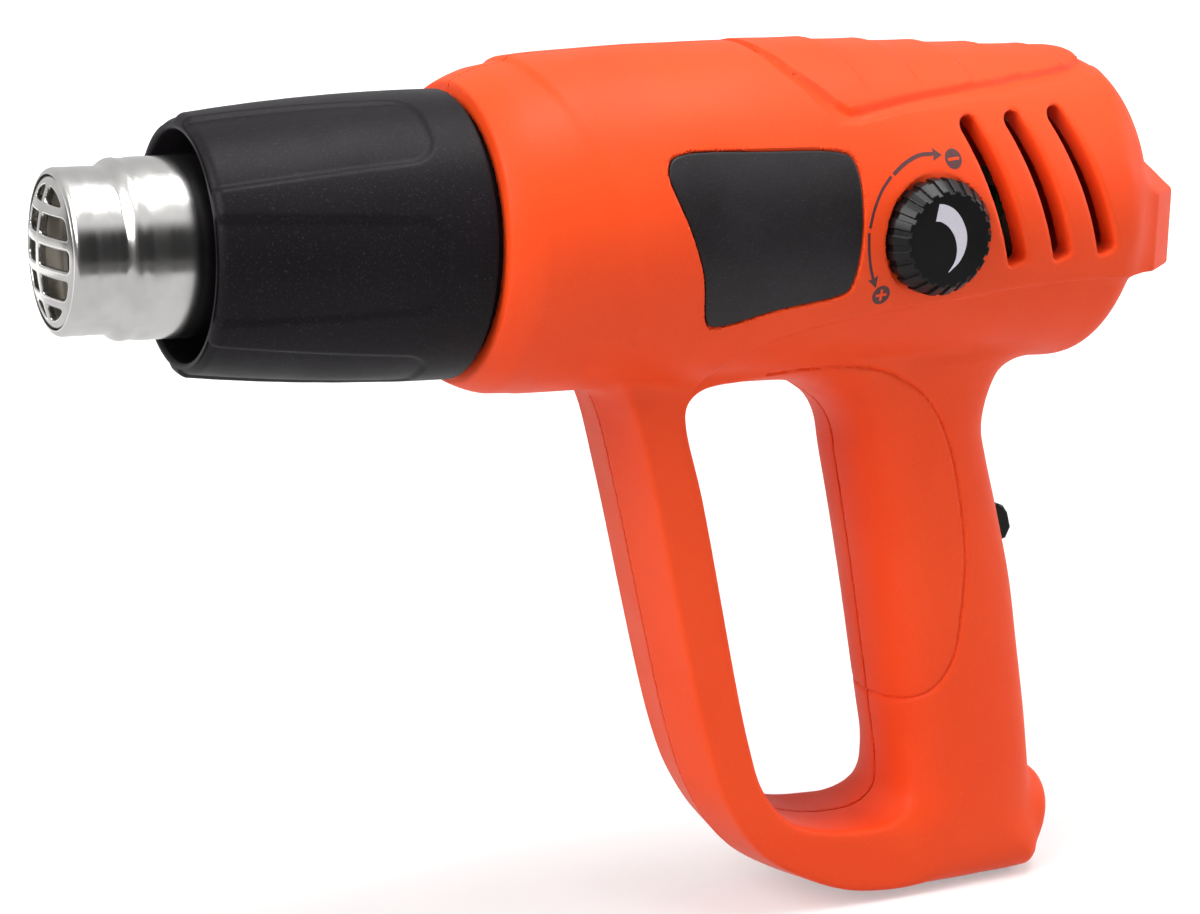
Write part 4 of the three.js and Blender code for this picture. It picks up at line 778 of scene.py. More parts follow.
def chevron_height(x, y, z):
    """The raised panel on top with its sunk border and its stepped ribs."""
    panel, border = chevron_map(x, y), moat_map(x, y)
    inside = 1 - ramp(panel, 0.4)
    share = np.clip(-border, 0, 20) / (np.clip(-border, 0, 20) + np.clip(panel, 0, 20) + 1e-6)
    drop = BORDER_EDGE * (1 - ramp(border, 0.7)) + BORDER_SLOPE * np.where(border < 0, share, 0)
    sunk = -drop * (1 - inside)
    step = (x - RIB_FIRST - RIB_SWEEP * np.abs(y)) / RIB_PITCH
    part = step - np.floor(step)
    saw = RIB_RISE * (part ** 2) * (1 - ramp(part - 0.975, RIB_DROP))
    saw = np.where((step > -1) & (step < RIB_COUNT), saw, 0)
    ribs = saw * (1 - ramp(np.abs(y) - RIB_HALF, RIB_FADE))
    return np.where(z > 8, sunk + inside * (PANEL_RISE + ribs), 0)


def slot_form(x, y, z):
    """The three air slots of each side, leaning forward at the top."""
    best = None
    for i in range(SLOT_COUNT):
        dx, dz = x - SLOT_START[0] - i * SLOT_PITCH, z - SLOT_START[1] - i * SLOT_RISE
        across, along = leaned(dx, dz, SLOT_LEAN)
        corner = np.where(along > 0, *SLOT_CORNERS)
        slot = rounded(np.abs(across) - SLOT_HALF_WIDTH, np.abs(along) - SLOT_HALF, corner)
        best = slot if best is None else np.minimum(best, slot)
    return np.maximum(best, SLOT_INNER_Y - np.abs(y))


def outer_form(x, y, z):
    """The closed housing with every drawn line on it."""
    barrel = barrel_form(x, y, z)
    ahead = COLLAR_RIDGE - x
    barrel = barrel + COLLAR_SLOPE * 0.5 * (ahead + np.hypot(ahead, COLLAR_ROUND))
    crease_x = np.interp(-z, -np.array(CREASE)[:, 1], np.array(CREASE)[:, 0])
    past_crease = ramp(x - crease_x, from_table(CREASE_WIDTH, z))
    barrel = barrel + from_table(CREASE_DEPTH, z) * (1 - past_crease)
    barrel = barrel + BAND_STEP * (1 - ramp(band_map(x, z) - 0.1, 0.6))
    barrel = barrel - chevron_height(x, y, z)
    whole = joined_body(barrel, x, y, z)
    whole = whole + GROOVE_DEPTH * np.exp(-(groove_map(x, z) / GROOVE_WIDTH) ** 2)
    plain = plain_form(x, y, z)
    plate = np.maximum(np.maximum(plate_map(x, z), -(plain + PLATE_RECESS)), y + 5)
    whole = cut(whole, plate, PLATE_EDGE)
    round_dial = dial_radius(x, z)
    whole = cut(whole, np.maximum(round_dial - DIAL_RECESS_R, y - DIAL_FLOOR_Y), DIAL_EDGE)
    whole = cut(whole, slot_form(x, y, z), SLOT_EDGE)
    seam = np.clip(1 - np.abs(y - SEAM_Y) / SEAM_HALF, 0, 1) * ramp(SEAM_TOP - z, 4)
    return whole + SEAM_DIP * seam


def switch_frame(x, z):
    """Distance out of the grip's back at the switch, and distance along it."""
    return leaned(x - SWITCH_AT[0], z - SWITCH_AT[1], SWITCH_LEAN)


def hollow_form(x, y, z):
    """Everything that is empty inside the housing."""
    axis = np.hypot(y, z)
    shell = barrel_form(x, y, z) + WALL
    loop, stand = loop_form(x, y, z) + WALL, stand_form(x, y, z) + STAND_WALL
    space = np.maximum(np.minimum(shell + BAND_STEP, np.minimum(loop, stand)), FRONT_WALL_X - x)
    collar = np.maximum(slot_form(x, y, z) - SLOT_COLLAR_WALL, -(shell + SLOT_COLLAR))
    space = np.maximum(space, -collar)
    round_dial = dial_radius(x, z)
    space = np.maximum(space, -np.maximum(round_dial - DIAL_SEAT_R, y - DIAL_SEAT_Y))
    space = np.minimum(space, np.maximum(np.maximum(round_dial - DIAL_BORE_R, y + 30), -60 - y))
    for radius, end in COLLAR_BORES:
        space = np.minimum(space, np.maximum(axis - radius, x - end))
    along, up = on_boss(x, z)
    gland, inner = np.hypot(y, up), -6 - along
    space = np.minimum(space, np.maximum(gland - GLAND_HOLE_R, inner))
    seat = np.maximum(np.maximum(gland - GLAND_SEAT_R, inner), along - GLAND_SEAT_END)
    space = np.minimum(space, seat)
    out, high = switch_frame(x, z)
    for box in (SWITCH_OPENING, SWITCH_SLOT):
        space = np.minimum(space, box_form(out, y, high, *box))
    return space


def seam_y(side, z):
    """Where one half ends in Y at its outside: the dial's half leaves a gap round the handle."""
    return LEFT_END_Y - SEAM_GAP * ramp(SEAM_TOP - z, 4) if side < 0 else RIGHT_END_Y + 0 * z


def housing_half(side):
    """One half of the housing as a form: side is -1 for the dial's half, +1 for the other."""
    def half(x, y, z):
        solid = outer_form(x, y, z)
        space = hollow_form(x, y, z)
        if side > 0:
            for sx, sz in SCREWS:
                r = np.hypot(x - sx, z - sz)
                space = np.maximum(space, SCREW_BOSS_R - r)
                solid = cut(solid, np.maximum(r - SCREW_HOLE_R, SCREW_SEAT_Y - y), 0.5)
        solid = cut(solid, space, 0.25)
        if side > 0:
            return np.maximum(solid, RIGHT_END_Y - y)
        gap = (seam_y(side, z) - LEFT_END_Y) * (1 - ramp(-solid - SEAM_DEPTH, 0.8))
        return np.maximum(solid, y - (LEFT_END_Y + gap))
    return half


def straighten_rim(points, edge, reach=0.28, near=0.35, most=0.3, h=0.03):
    """Puts the points beside a half's outer edge onto it, so that the seam is a clean line."""
    beside = np.abs(points[:, 1] - edge) < reach
    corner = beside & (np.abs(outer_form(*points.T)) < near)
    rim = points[corner]
    rim[:, 1] = edge[corner]
    for _ in range(3):
        value = outer_form(*rim.T)
        slope = [(outer_form(*(rim + step).T) - value) / h for step in ((h, 0, 0), (0, 0, h))]
        scale = value / np.maximum(slope[0] ** 2 + slope[1] ** 2, 0.2)
        rim[:, 0] -= np.clip(slope[0] * scale, -most, most)
        rim[:, 2] -= np.clip(slope[1] * scale, -most, most)
    points[corner] = rim


def make_housing():
    for side, name, node, box in (
        (-1, "shell_dial_side", "housing_left", LEFT_BOX),
        (1, "shell_plain_side", "housing_right", RIGHT_BOX),
    ):
        form = housing_half(side)
        points, faces = skin(form, *box, cell=1.3, tolerance=0.045, shortest=0.8, rounds=3)
        straighten_rim(points, seam_y(side, points[:, 2]))
        new_piece(name, points, faces, "orange_plastic", replaces=[node], sharp=42)


make_housing()

# Turned pieces and thin plates


def outward(points, faces):
    """The faces of a closed mesh, turned round where they point inwards."""
    corners = [f[:, [0, 1, 2]] for f in faces] + [f[:, [0, 2, 3]] for f in faces if f.shape[1] == 4]
    volume = sum((points[c[:, 0]] * np.cross(points[c[:, 1]], points[c[:, 2]])).sum() for c in corners)
    return faces if volume > 0 else [f[:, ::-1] for f in faces]


def turned(outline, sides, relief=None):
    """A closed outline [along, radius] carried round the X axis; relief changes the radius."""
    line = np.asarray(outline, float)
    rows = len(line)
    x, radius = (np.repeat(line[:, k, None], sides, axis=1) for k in (0, 1))
    angle = np.repeat(2 * np.pi * np.arange(sides)[None] / sides, rows, axis=0)
    if relief:
        radius = radius + relief(x, radius, angle)
    points = np.stack([x, -radius * np.cos(angle), -radius * np.sin(angle)], axis=-1).reshape(-1, 3)
    i, j = (k.ravel() for k in np.meshgrid(np.arange(rows), np.arange(sides), indexing="ij"))
    after, beside = (i + 1) % rows, (j + 1) % sides
    ring = [i * sides + j, after * sides + j, after * sides + beside, i * sides + beside]
    faces = np.stack(ring, axis=1)
    return points, outward(points, [faces])


def arc(centre, radius, start, end, steps):
    angle = np.radians(np.linspace(start, end, steps + 1))
    return np.stack([centre[0] + radius * np.cos(angle), centre[1] + radius * np.sin(angle)], axis=1)


def side_y(x, z, lift=0.0):
    """Where the dial side's plain surface lies in Y, moved outwards by the lift."""
    low, high = np.full(np.shape(x), -46.0), np.full(np.shape(x), -20.0)
    for _ in range(24):
        middle = (low + high) / 2
        outside = plain_form(x, middle, z) > lift
        low, high = np.where(outside, middle, low), np.where(outside, high, middle)
    return (low + high) / 2


def ribbon(one, two):
    """Flat points, faces and border of a strip between two lines of as many points."""
    count = len(one)
    flat = np.stack([one, two], axis=1).reshape(-1, 2)
    i = 2 * np.arange(count - 1)
    faces = np.stack([i, i + 1, i + 3, i + 2], axis=1)
    border = np.r_[np.arange(1, 2 * count, 2), np.arange(2 * count - 2, -1, -2)]
    return flat, [faces], border


def stroke(points, width, step=0.5):
    """A strip of one width along a smooth line."""
    line = smooth_path(points, step)
    along = np.gradient(line, axis=0)
    across = np.stack([-along[:, 1], along[:, 0]], axis=1) / np.linalg.norm(along, axis=1)[:, None]
    return ribbon(line + across * width / 2, line - across * width / 2)


def filled(outline, shares):
    """Flat points, faces and border of a filled outline, in rings from its middle."""
    outline = np.asarray(outline, float)
    middle, count = outline.mean(0), len(outline)
    flat = np.vstack([[middle]] + [middle + (outline - middle) * s for s in shares])
    k = np.arange(count)
    after = (k + 1) % count
    faces = [np.stack([np.zeros(count, int), 1 + k, 1 + after], axis=1)]
    for ring in range(len(shares) - 1):
        inner, outer = 1 + ring * count, 1 + (ring + 1) * count
        faces.append(np.stack([inner + k, outer + k, outer + after, inner + after], axis=1))
    return flat, faces, 1 + (len(shares) - 1) * count + k


def flat_at(y):
    """A flat side for a slab: the same Y everywhere."""
    return lambda x, z: 0 * x + y


def slab(shape, upper, lower):
    """A thin closed solid over a flat shape: upper and lower give Y for its points."""
    flat, faces, border = shape
    count = len(flat)
    x, z = flat.T
    points = np.vstack([np.stack([x, upper(x, z), z], axis=1), np.stack([x, lower(x, z), z], axis=1)])
    after = np.roll(border, -1)
    wall = np.stack([after, border, border + count, after + count], axis=1)
    return points, outward(points, faces + [f[:, ::-1] + count for f in faces] + [wall])


def gathered(parts):
    """Several closed meshes as one."""
    points, faces, start = [], [], 0
    for part_points, part_faces in parts:
        points.append(part_points)
        faces += [f + start for f in part_faces]
        start += len(part_points)
    return np.vstack(points), faces


# Black guard round the nozzle

GUARD_MOUTH, GUARD_EDGE, GUARD_LIP, GUARD_SIDES = -68.5, -10.0, 2.6, 330
GUARD_FRONT_R, GUARD_FLARE, GUARD_BULGE = 27, 3.8, 0.9
GUARD_THROAT = [[GUARD_EDGE, 28], [0.6, 28], [0.6, 24.6], [GUARD_EDGE, 24.6], [-35, 24.1],
                [-60.5, 23.8], [-66.7, 23.8]]
PANEL_DEPTHS, PANEL_END, PANEL_CORNER, PANEL_TURN = (1.0, 0.5), -20.5, 6.0, 3.4
PANEL_HALF_ANGLES = [[-72.5, 24.0], [PANEL_END, 17.5]]
PANEL_STEP, PANEL_SLOPE, PANEL_INNER_R = 60, 1.5, 25.2


def guard_radius(x):
    t = (x - GUARD_MOUTH) / (GUARD_EDGE - GUARD_MOUTH)
    return GUARD_FRONT_R + GUARD_FLARE * t + GUARD_BULGE * 4 * t * (1 - t)


def panel_relief(x, radius, angle):
    """Six recessed panels, narrower toward the back, open at the mouth."""
    off = (np.degrees(angle) - PANEL_TURN + PANEL_STEP / 2) % PANEL_STEP - PANEL_STEP / 2
    half = from_table(PANEL_HALF_ANGLES, x)
    edge = rounded(np.radians(np.abs(off) - half) * radius, x - PANEL_END, PANEL_CORNER)
    deep = np.interp(x, [GUARD_MOUTH, PANEL_END], PANEL_DEPTHS)
    return np.where(radius > PANEL_INNER_R, -deep * (1 - ramp(edge, PANEL_SLOPE)), 0)


def make_guard():
    start = GUARD_MOUTH + GUARD_LIP
    x = np.linspace(start, GUARD_EDGE - 0.4, 104)
    outside = np.stack([x, guard_radius(x)], axis=1)
    lip = arc((start, guard_radius(start) - GUARD_LIP), GUARD_LIP, 180, 90, 9)[:-1]
    rear = arc((GUARD_EDGE - 0.4, guard_radius(GUARD_EDGE) - 0.4), 0.4, 60, 0, 2)
    mouth = arc((-67.6, 24.7), 0.9, 270, 185, 5)
    outline = np.vstack([lip, outside, rear, GUARD_THROAT, mouth])
    points, faces = turned(outline, GUARD_SIDES, panel_relief)
    new_piece("guard_shell", points, faces, "black_plastic", replaces=["guard_sleeve"], sharp=34)


make_guard()

# Steel nozzle and its grille

NOZZLE_R, NOZZLE_FRONT_R, NOZZLE_BORE_R, NOZZLE_SIDES = 18.6, 17.0, 17.8, 224
NOZZLE_STEP = [[-92.4, NOZZLE_FRONT_R], [-86, NOZZLE_FRONT_R], [-84.9, 17.02], [-84.2, 17.14],
               [-82.7, 18.2], [-82.0, 18.5], [-81.3, 18.56], [-80.5, 18.44], [-79.7, 18.36],
               [-78.9, 18.42], [-78.0, 18.55], [-77.0, NOZZLE_R], [-75, NOZZLE_R]]
NOZZLE_REAR = [[-60, NOZZLE_R], [-40, NOZZLE_R], [-20, NOZZLE_R], [0.9, NOZZLE_R], [0.9, 25.6],
               [2.1, 25.6], [2.1, NOZZLE_BORE_R]]
NOZZLE_INSIDE = [[-40, NOZZLE_BORE_R], [-81.6, NOZZLE_BORE_R], [-83.8, 16.2], [-93.0, 16.2]]


def make_nozzle():
    lip = arc((-93.2, 15.6), 1.4, 178, 90, 10)
    step = smooth_path(NOZZLE_STEP, 0.28)
    tuck = arc((-93.3, 15.65), 0.55, 90, 175, 4)
    outline = np.vstack([lip, step, NOZZLE_REAR, NOZZLE_INSIDE, tuck])
    points, faces = turned(outline, NOZZLE_SIDES)
    new_piece("nozzle_shell", points, faces, "polished_steel", replaces=["nozzle_tube"], sharp=50)


GRILLE_R, GRILLE_OPEN_R, GRILLE_PITCH, GRILLE_BAR, GRILLE_ROWS = 15.3, 13.6, 6.1, 2.0, 5
GRILLE_BOX = (-98.6, -16.4, -16.4), (-89.8, 16.4, 16.4)
DOME_CENTRE_X, DOME_R = -56.9, 40.51


def grille_form(x, y, z):
    """A domed disc pressed into two columns of openings, their edges bent inwards."""
    axis = np.hypot(y, z)
    ball = np.sqrt((x - DOME_CENTRE_X) ** 2 + axis ** 2) - DOME_R
    row = (z + GRILLE_ROWS / 2 * GRILLE_PITCH) % GRILLE_PITCH - GRILLE_PITCH / 2
    row = np.where(np.abs(z) < GRILLE_ROWS / 2 * GRILLE_PITCH, np.abs(row), GRILLE_PITCH / 2)
    half = (GRILLE_PITCH - GRILLE_BAR) / 2
    hole = meet(meet(row - half, GRILLE_BAR / 2 - np.abs(y), 0.9), axis - GRILLE_OPEN_R, 1.1)
    wall = 0.8 + 0.9 * (1 - ramp(hole - 0.45, 0.5))
    plate = meet(ball, -ball - wall, 0.25)
    plate = meet(plate, axis - GRILLE_R, 0.5)
    return cut(plate, hole, 0.4)


def make_grille():
    points, faces = skin(grille_form, *GRILLE_BOX, cell=0.42, tolerance=0.012, shortest=0.22)
    new_piece("grille_dome", points, faces, "polished_steel", replaces=["nozzle_grille"], sharp=60)


make_nozzle()
make_grille()

# Dial: knob, inlay and printed marks

KNOB_BORE_R, KNOB_BORE_END = 3.3, -40.9
KNOB_R, KNOB_FACE_R, KNOB_BACK, KNOB_FRONT, KNOB_SHOULDER = 12.8, 10.5, -36.5, -42.9, -39.4
NOTCH_COUNT, NOTCH_DEPTH, NOTCH_SHARE, NOTCH_INNER_R = 22, 0.55, 0.4, 9.9


def knob_form(x, y, z):
    dx, dz = x - DIAL[0], z - DIAL[1]
    r = np.hypot(dx, dz)
    slant = math.hypot(KNOB_R - KNOB_FACE_R, KNOB_SHOULDER - KNOB_FRONT)
    lean = (KNOB_SHOULDER - KNOB_FRONT) / slant, (KNOB_R - KNOB_FACE_R) / slant
    cone = (r - KNOB_R) * lean[0] + (KNOB_SHOULDER - y) * lean[1]
    body = meet(meet(r - KNOB_R, cone, 0.25), KNOB_FRONT - y, 0.3)
    pitch = 2 * np.pi / NOTCH_COUNT
    off = np.abs((np.arctan2(dz, dx) / pitch) % 1 - 0.5) * pitch
    across = off * r - NOTCH_SHARE * pitch * 0.5 * np.clip(r, 9, 13)
    deep = -(np.maximum(r - KNOB_R, cone) + NOTCH_DEPTH)
    notch = np.maximum(np.maximum(across, deep), NOTCH_INNER_R - r)
    body = cut(body, notch, 0.16)
    body = np.maximum(body, y - KNOB_BACK)
    return np.maximum(body, -np.maximum(r - KNOB_BORE_R, KNOB_BORE_END - y))


# The pale crescent's two edges
CRESCENT_OUTER = [[88.1, 8.5], [89.6, 8.3], [92.0, 7.2], [93.9, 5.2], [95.3, 2.4], [95.6, 0.4],
                  [95.2, -1.9], [93.9, -4.3], [91.35, -6.5]]
CRESCENT_INNER = [[87.4, 4.8], [88.7, 4.6], [90.5, 3.6], [92.1, 1.8], [93.0, -0.5], [93.15, -2.4],
                  [92.7, -4.3], [91.25, -6.4]]


def evenly(points, count):
    """As many points as asked for, evenly spread along a smooth line."""
    line = smooth_path(points, 0.2)
    along = np.r_[0, np.cumsum(np.linalg.norm(np.diff(line, axis=0), axis=1))]
    spots = np.linspace(0, along[-1], count)
    return np.stack([np.interp(spots, along, line[:, k]) for k in (0, 1)], axis=1)


def printed(shape, high=0.04):
    """A printed mark that lies on the dial side's curved surface."""
    return slab(shape, lambda x, z: side_y(x, z, high), lambda x, z: side_y(x, z, -0.06))


def arrow_head(tip, back, half_width):
    tip, back = np.array(tip), np.array(back)
    along = (tip - back) / np.linalg.norm(tip - back)
    across = np.array([-along[1], along[0]]) * half_width
    return filled([tip, back + across, back + along * 0.35, back - across], [1.0])


def badge(centre, radius):
    return filled(arc(centre, radius, 0, 352.5, 47), [0.25, 0.5, 0.75, 1.0])


MINUS_AT, PLUS_AT = (96.3, 17.0), (78.9, -11.9)


def make_dial():
    low = (DIAL[0] - 13.2, -43.7, DIAL[1] - 13.2)
    high = (DIAL[0] + 13.2, -35.7, DIAL[1] + 13.2)
    points, faces = skin(knob_form, low, high, cell=0.34, tolerance=0.012, shortest=0.2)
    new_piece("dial_grip", points, faces, "knob_plastic", "dial", replaces=["dial_knob"], sharp=34)
    crescent = ribbon(evenly(CRESCENT_OUTER, 60), evenly(CRESCENT_INNER, 60))
    points, faces = slab(crescent, flat_at(KNOB_FRONT - 0.05), flat_at(KNOB_FRONT + 0.2))
    new_piece("dial_inlay", points, faces, "pale_inlay", "dial", sharp=30)
    dark = [
        stroke([[80.4, 14.3], [83.6, 16.4], [87.7, 18.0], [91.6, 18.2]], 0.85),
        arrow_head((93.5, 17.9), (91.1, 18.1), 1.4),
        stroke([[79.7, 13.9], [77.0, 11.0], [74.9, 7.1], [73.8, 3.2]], 0.65),
        stroke([[73.6, 2.2], [73.9, -1.5], [74.8, -5.3], [76.1, -8.4]], 0.65),
        arrow_head((77.1, -10.2), (75.9, -7.8), 1.25),
        badge(MINUS_AT, 2.15), badge(PLUS_AT, 2.15),
    ]
    points, faces = gathered([printed(shape) for shape in dark])
    new_piece("dial_print", points, faces, "print_ink", sharp=30)
    bars = []
    for centre, lengths in ((MINUS_AT, [(1.45, 0.0)]), (PLUS_AT, [(1.35, 0.0), (1.35, 90.0)])):
        for half, turn in lengths:
            step = half * np.array([math.cos(math.radians(turn + 5)), math.sin(math.radians(turn + 5))])
            middle = np.array(centre)
            bars.append(stroke([middle - step, middle, middle + step], 0.6, 1.0))
    points, faces = gathered([printed(shape, 0.075) for shape in bars])
    new_piece("dial_print_gaps", points, faces, "orange_plastic", sharp=30)


make_dial()

# Bare label plate


def make_plate():
    shares = list(np.linspace(0.07, 0.93, 14)) + [0.955, 0.968, 0.976, 0.981, 0.984]
    flat, faces, border = filled(plate_line, shares)
    drop = np.zeros(len(flat))
    count = len(plate_line)
    for ring, fall in ((-1, 0.26), (-2, 0.09), (-3, 0.03)):
        start = 1 + (len(shares) + ring) * count
        drop[start:start + count] = fall
    points, faces = slab((flat, faces, border), lambda x, z: side_y(x, z, -0.28 - drop),
                         lambda x, z: side_y(x, z, -0.86))
    new_piece("label_plate", points, faces, "label_film", replaces=["name_plate"], sharp=50)


make_plate()

# Slide switch and cord gland

BUTTON_PROFILE = [[-1.1, -4.5], [2.4, -4.5], [4.3, -2.3], [4.3, 1.5], [3.5, 3.6], [2.4, 4.5], [-1.1, 4.5]]
BUTTON_NECK = (-2.7, -2.1, -1.9), (-0.4, 2.1, 1.9)
BUTTON_HALF_WIDTH, RIDGE_DEPTH, RIDGE_PITCH = 5.5, 0.22, 1.5
button_map = distance_map(BUTTON_PROFILE, 0.1, 3)


def button_form(x, y, z):
    """The switch's button: a low block with a slanted nose and cross ridges for the thumb."""
    out, up = switch_frame(x, z)
    ridge = RIDGE_DEPTH * (0.5 + 0.5 * np.cos(2 * np.pi * up / RIDGE_PITCH))
    ridge = ridge * ramp(out - 2.4, 1.2) * ramp(4.6 - np.abs(y), 0.8)
    block = meet(button_map(out, up) + ridge, np.abs(y) - BUTTON_HALF_WIDTH, 0.9)
    neck = box_form(out, y, up, *BUTTON_NECK)
    return join(block, neck, 0.2)


def make_switch():
    low = (SWITCH_AT[0] - 6, -6.4, SWITCH_AT[1] - 7)
    high = (SWITCH_AT[0] + 7, 6.4, SWITCH_AT[1] + 7.5)
    points, faces = skin(button_form, low, high, cell=0.34, tolerance=0.01, shortest=0.2)
    new_piece("switch_slider", points, faces, "knob_plastic", "slider", ["switch_button"], 45)


def make_gland():
    """Rubber gland turned on the boss's axis, with rings where the cord would be gripped."""
    outline = [[1.8, 3.7], [1.8, 7.3], [2.1, 7.6], [3.5, 7.6], [3.8, 7.3], [3.8, 6.0]]
    for ring in range(4):
        x = 5.0 + ring * 1.9
        outline += [[x, 6.0], [x + 0.2, 5.55], [x + 0.8, 5.55], [x + 1.0, 6.0]]
    outline += [[12.7, 6.0], [13.05, 5.85], [13.2, 5.5], [13.2, 4.9], [12.9, 4.7], [12.9, 4.3],
                [13.2, 4.1], [13.05, 3.75], [12.7, 3.6], [3.0, 3.6]]
    points, faces = turned(outline, 72)
    along, up = points[:, 0].copy(), points[:, 2].copy()
    c, s = math.cos(BOSS_TILT), math.sin(BOSS_TILT)
    points[:, 0] = BOSS_AT[0] + along * c + up * s
    points[:, 2] = BOSS_AT[1] - along * s + up * c
    new_piece("gland_rubber", points, faces, "black_rubber", replaces=["cord_gland"], sharp=35)


make_switch()
make_gland()

# Screws and heater wire by node trees


class NodeShape:
    """A geometry node tree with named sizes, run once and kept as a plain mesh."""

    def __init__(self, name, sizes):
        self.tree = bpy.data.node_groups.new(name, "GeometryNodeTree")
        self.tree.interface.new_socket("Geometry", in_out="OUTPUT", socket_type="NodeSocketGeometry")
        self.tree.interface.new_socket("Geometry", in_out="INPUT", socket_type="NodeSocketGeometry")
        self.sockets = {}
        self.sizes = sizes
        for label, value in sizes.items():
            kind = "NodeSocketInt" if isinstance(value, int) else "NodeSocketFloat"
            kind = "NodeSocketMaterial" if isinstance(value, bpy.types.Material) else kind
            self.sockets[label] = self.tree.interface.new_socket(label, in_out="INPUT", socket_type=kind)
        self.given = self.tree.nodes.new("NodeGroupInput").outputs
        self.out = self.tree.nodes.new("NodeGroupOutput")

    def add(self, kind, inputs=(), result=0, **settings):
        """Adds a node, feeds its inputs with numbers or other nodes' results, and gives its result."""
        made = self.tree.nodes.new(kind)
        for key, value in settings.items():
            setattr(made, key, value)
        for key, value in dict(inputs).items():
            values = value if isinstance(value, list) else [value]
            for one in values:
                if isinstance(one, bpy.types.NodeSocket):
                    self.tree.links.new(one, made.inputs[key])
                else:
                    made.inputs[key].default_value = one
        return made.outputs[result]

    def times(self, a, b):
        return self.add("ShaderNodeMath", {0: a, 1: b}, operation="MULTIPLY")

    def vector(self, x=0.0, y=0.0, z=0.0):
        return self.add("ShaderNodeCombineXYZ", {0: x, 1: y, 2: z})

    def moved(self, shape, place=None, turn=None):
        inputs = {"Geometry": shape}
        if place is not None:
            inputs["Translation"] = place
        if turn is not None:
            inputs["Rotation"] = turn
        return self.add("GeometryNodeTransform", inputs)

    def grown(self, name, result, places):
        """Runs the tree on a mesh of points and gives the result as an object with a plain mesh."""
        placed = self.add("GeometryNodeSetMaterial", {
            "Geometry": self.add("GeometryNodeRealizeInstances", {"Geometry": result}),
            "Material": self.given["Material"],
        })
        self.tree.links.new(placed, self.out.inputs[0])
        mesh = bpy.data.meshes.new(name)
        mesh.from_pydata([tuple(p) for p in places], [], [])
        piece = bpy.data.objects.new(name, mesh)
        bpy.context.collection.objects.link(piece)
        modifier = piece.modifiers.new("shape", "NODES")
        modifier.node_group = self.tree
        for label, value in self.sizes.items():
            modifier[self.sockets[label].identifier] = value
        evaluated = piece.evaluated_get(bpy.context.evaluated_depsgraph_get())
        grown = bpy.data.meshes.new_from_object(evaluated)
        piece.modifiers.clear()
        piece.data = grown
        grown.shade_smooth()
        grown.set_sharp_from_angle(angle=math.radians(35))
        return piece


def make_screws():
    """Seven housing screws: a pan head with a cross recess on a plain shank."""
    shape = NodeShape("housing_screws", {
        "Head Radius": 0.003, "Head Height": 0.0016, "Crown Height": 0.0006,
        "Shank Radius": 0.0015, "Shank Length": 0.0183,
        "Recess Length": 0.0034, "Recess Width": 0.0008, "Recess Depth": 0.0012,
        "Seed": 7, "Material": MATERIALS["dark_steel"],
    })
    given = shape.given
    half = shape.vector(z=shape.times(given["Head Height"], 0.5))
    collar = shape.moved(shape.add("GeometryNodeMeshCylinder", {
        "Vertices": 40, "Radius": given["Head Radius"], "Depth": given["Head Height"]}), half)
    crown = shape.moved(shape.add("GeometryNodeMeshCone", {
        "Vertices": 40, "Radius Bottom": given["Head Radius"],
        "Radius Top": shape.times(given["Head Radius"], 0.8),
        "Depth": given["Crown Height"]}), shape.vector(z=given["Head Height"]))
    shank = shape.moved(shape.add("GeometryNodeMeshCylinder", {
        "Vertices": 20, "Radius": given["Shank Radius"], "Depth": given["Shank Length"]}),
        shape.vector(z=shape.times(given["Shank Length"], -0.499)))
    solid = shape.add("GeometryNodeMeshBoolean", {"Mesh 2": [collar, crown, shank]}, operation="UNION")
    top = shape.add("ShaderNodeMath", {
        0: given["Head Height"], 1: given["Crown Height"]}, operation="ADD")
    deep = shape.times(given["Recess Depth"], 2.0)
    long, wide = given["Recess Length"], given["Recess Width"]
    bar = shape.add("GeometryNodeMeshCube", {"Size": shape.vector(long, wide, deep)})
    cross = shape.add("GeometryNodeMeshCube", {"Size": shape.vector(wide, long, deep)})
    bar, cross = (shape.moved(b, shape.vector(z=top)) for b in (bar, cross))
    screw = shape.add("GeometryNodeMeshBoolean", {
        "Mesh 1": solid, "Mesh 2": [bar, cross]}, operation="DIFFERENCE")
    placed = shape.add("GeometryNodeInstanceOnPoints", {
        "Points": given["Geometry"], "Instance": screw, "Rotation": (-math.pi / 2, 0, 0)})
    spin = shape.add("FunctionNodeRandomValue", {
        "Max": 1.5, "Seed": given["Seed"]}, result=1, data_type="FLOAT")
    spun = shape.add("GeometryNodeRotateInstances", {
        "Instances": placed, "Rotation": shape.vector(z=spin)})
    places = to_world([[x, SCREW_SEAT_Y, z] for x, z in SCREWS])
    piece = shape.grown("housing_screws", spun, places)
    dress(piece, "dark_steel")
    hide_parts(*[f"housing_screw_{k}" for k in range(1, 8)])


def make_coil():
    """The heater's wire, wound round the ceramic core."""
    shape = NodeShape("heater_winding", {
        "Loops": 8.0, "Coil Radius": 0.0133, "Wire Radius": 0.0008, "Length": 0.058, "Steps": 44,
        "Material": MATERIALS["heater_wire"],
    })
    given = shape.given
    path = shape.add("GeometryNodeCurveSpiral", {
        "Resolution": given["Steps"], "Rotations": given["Loops"], "Start Radius": given["Coil Radius"],
        "End Radius": given["Coil Radius"], "Height": given["Length"]})
    ring = shape.add("GeometryNodeCurvePrimitiveCircle", {
        "Resolution": 12, "Radius": given["Wire Radius"]})
    wire = shape.add("GeometryNodeCurveToMesh", {
        "Curve": path, "Profile Curve": ring, "Fill Caps": True})
    laid = shape.moved(wire, tuple(to_world([-76, 0, 0])), (0, math.pi / 2, 0))
    piece = shape.grown("heater_winding", laid, [(0, 0, 0)])
    dress(piece, "heater_wire")
    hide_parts("heater_coil")


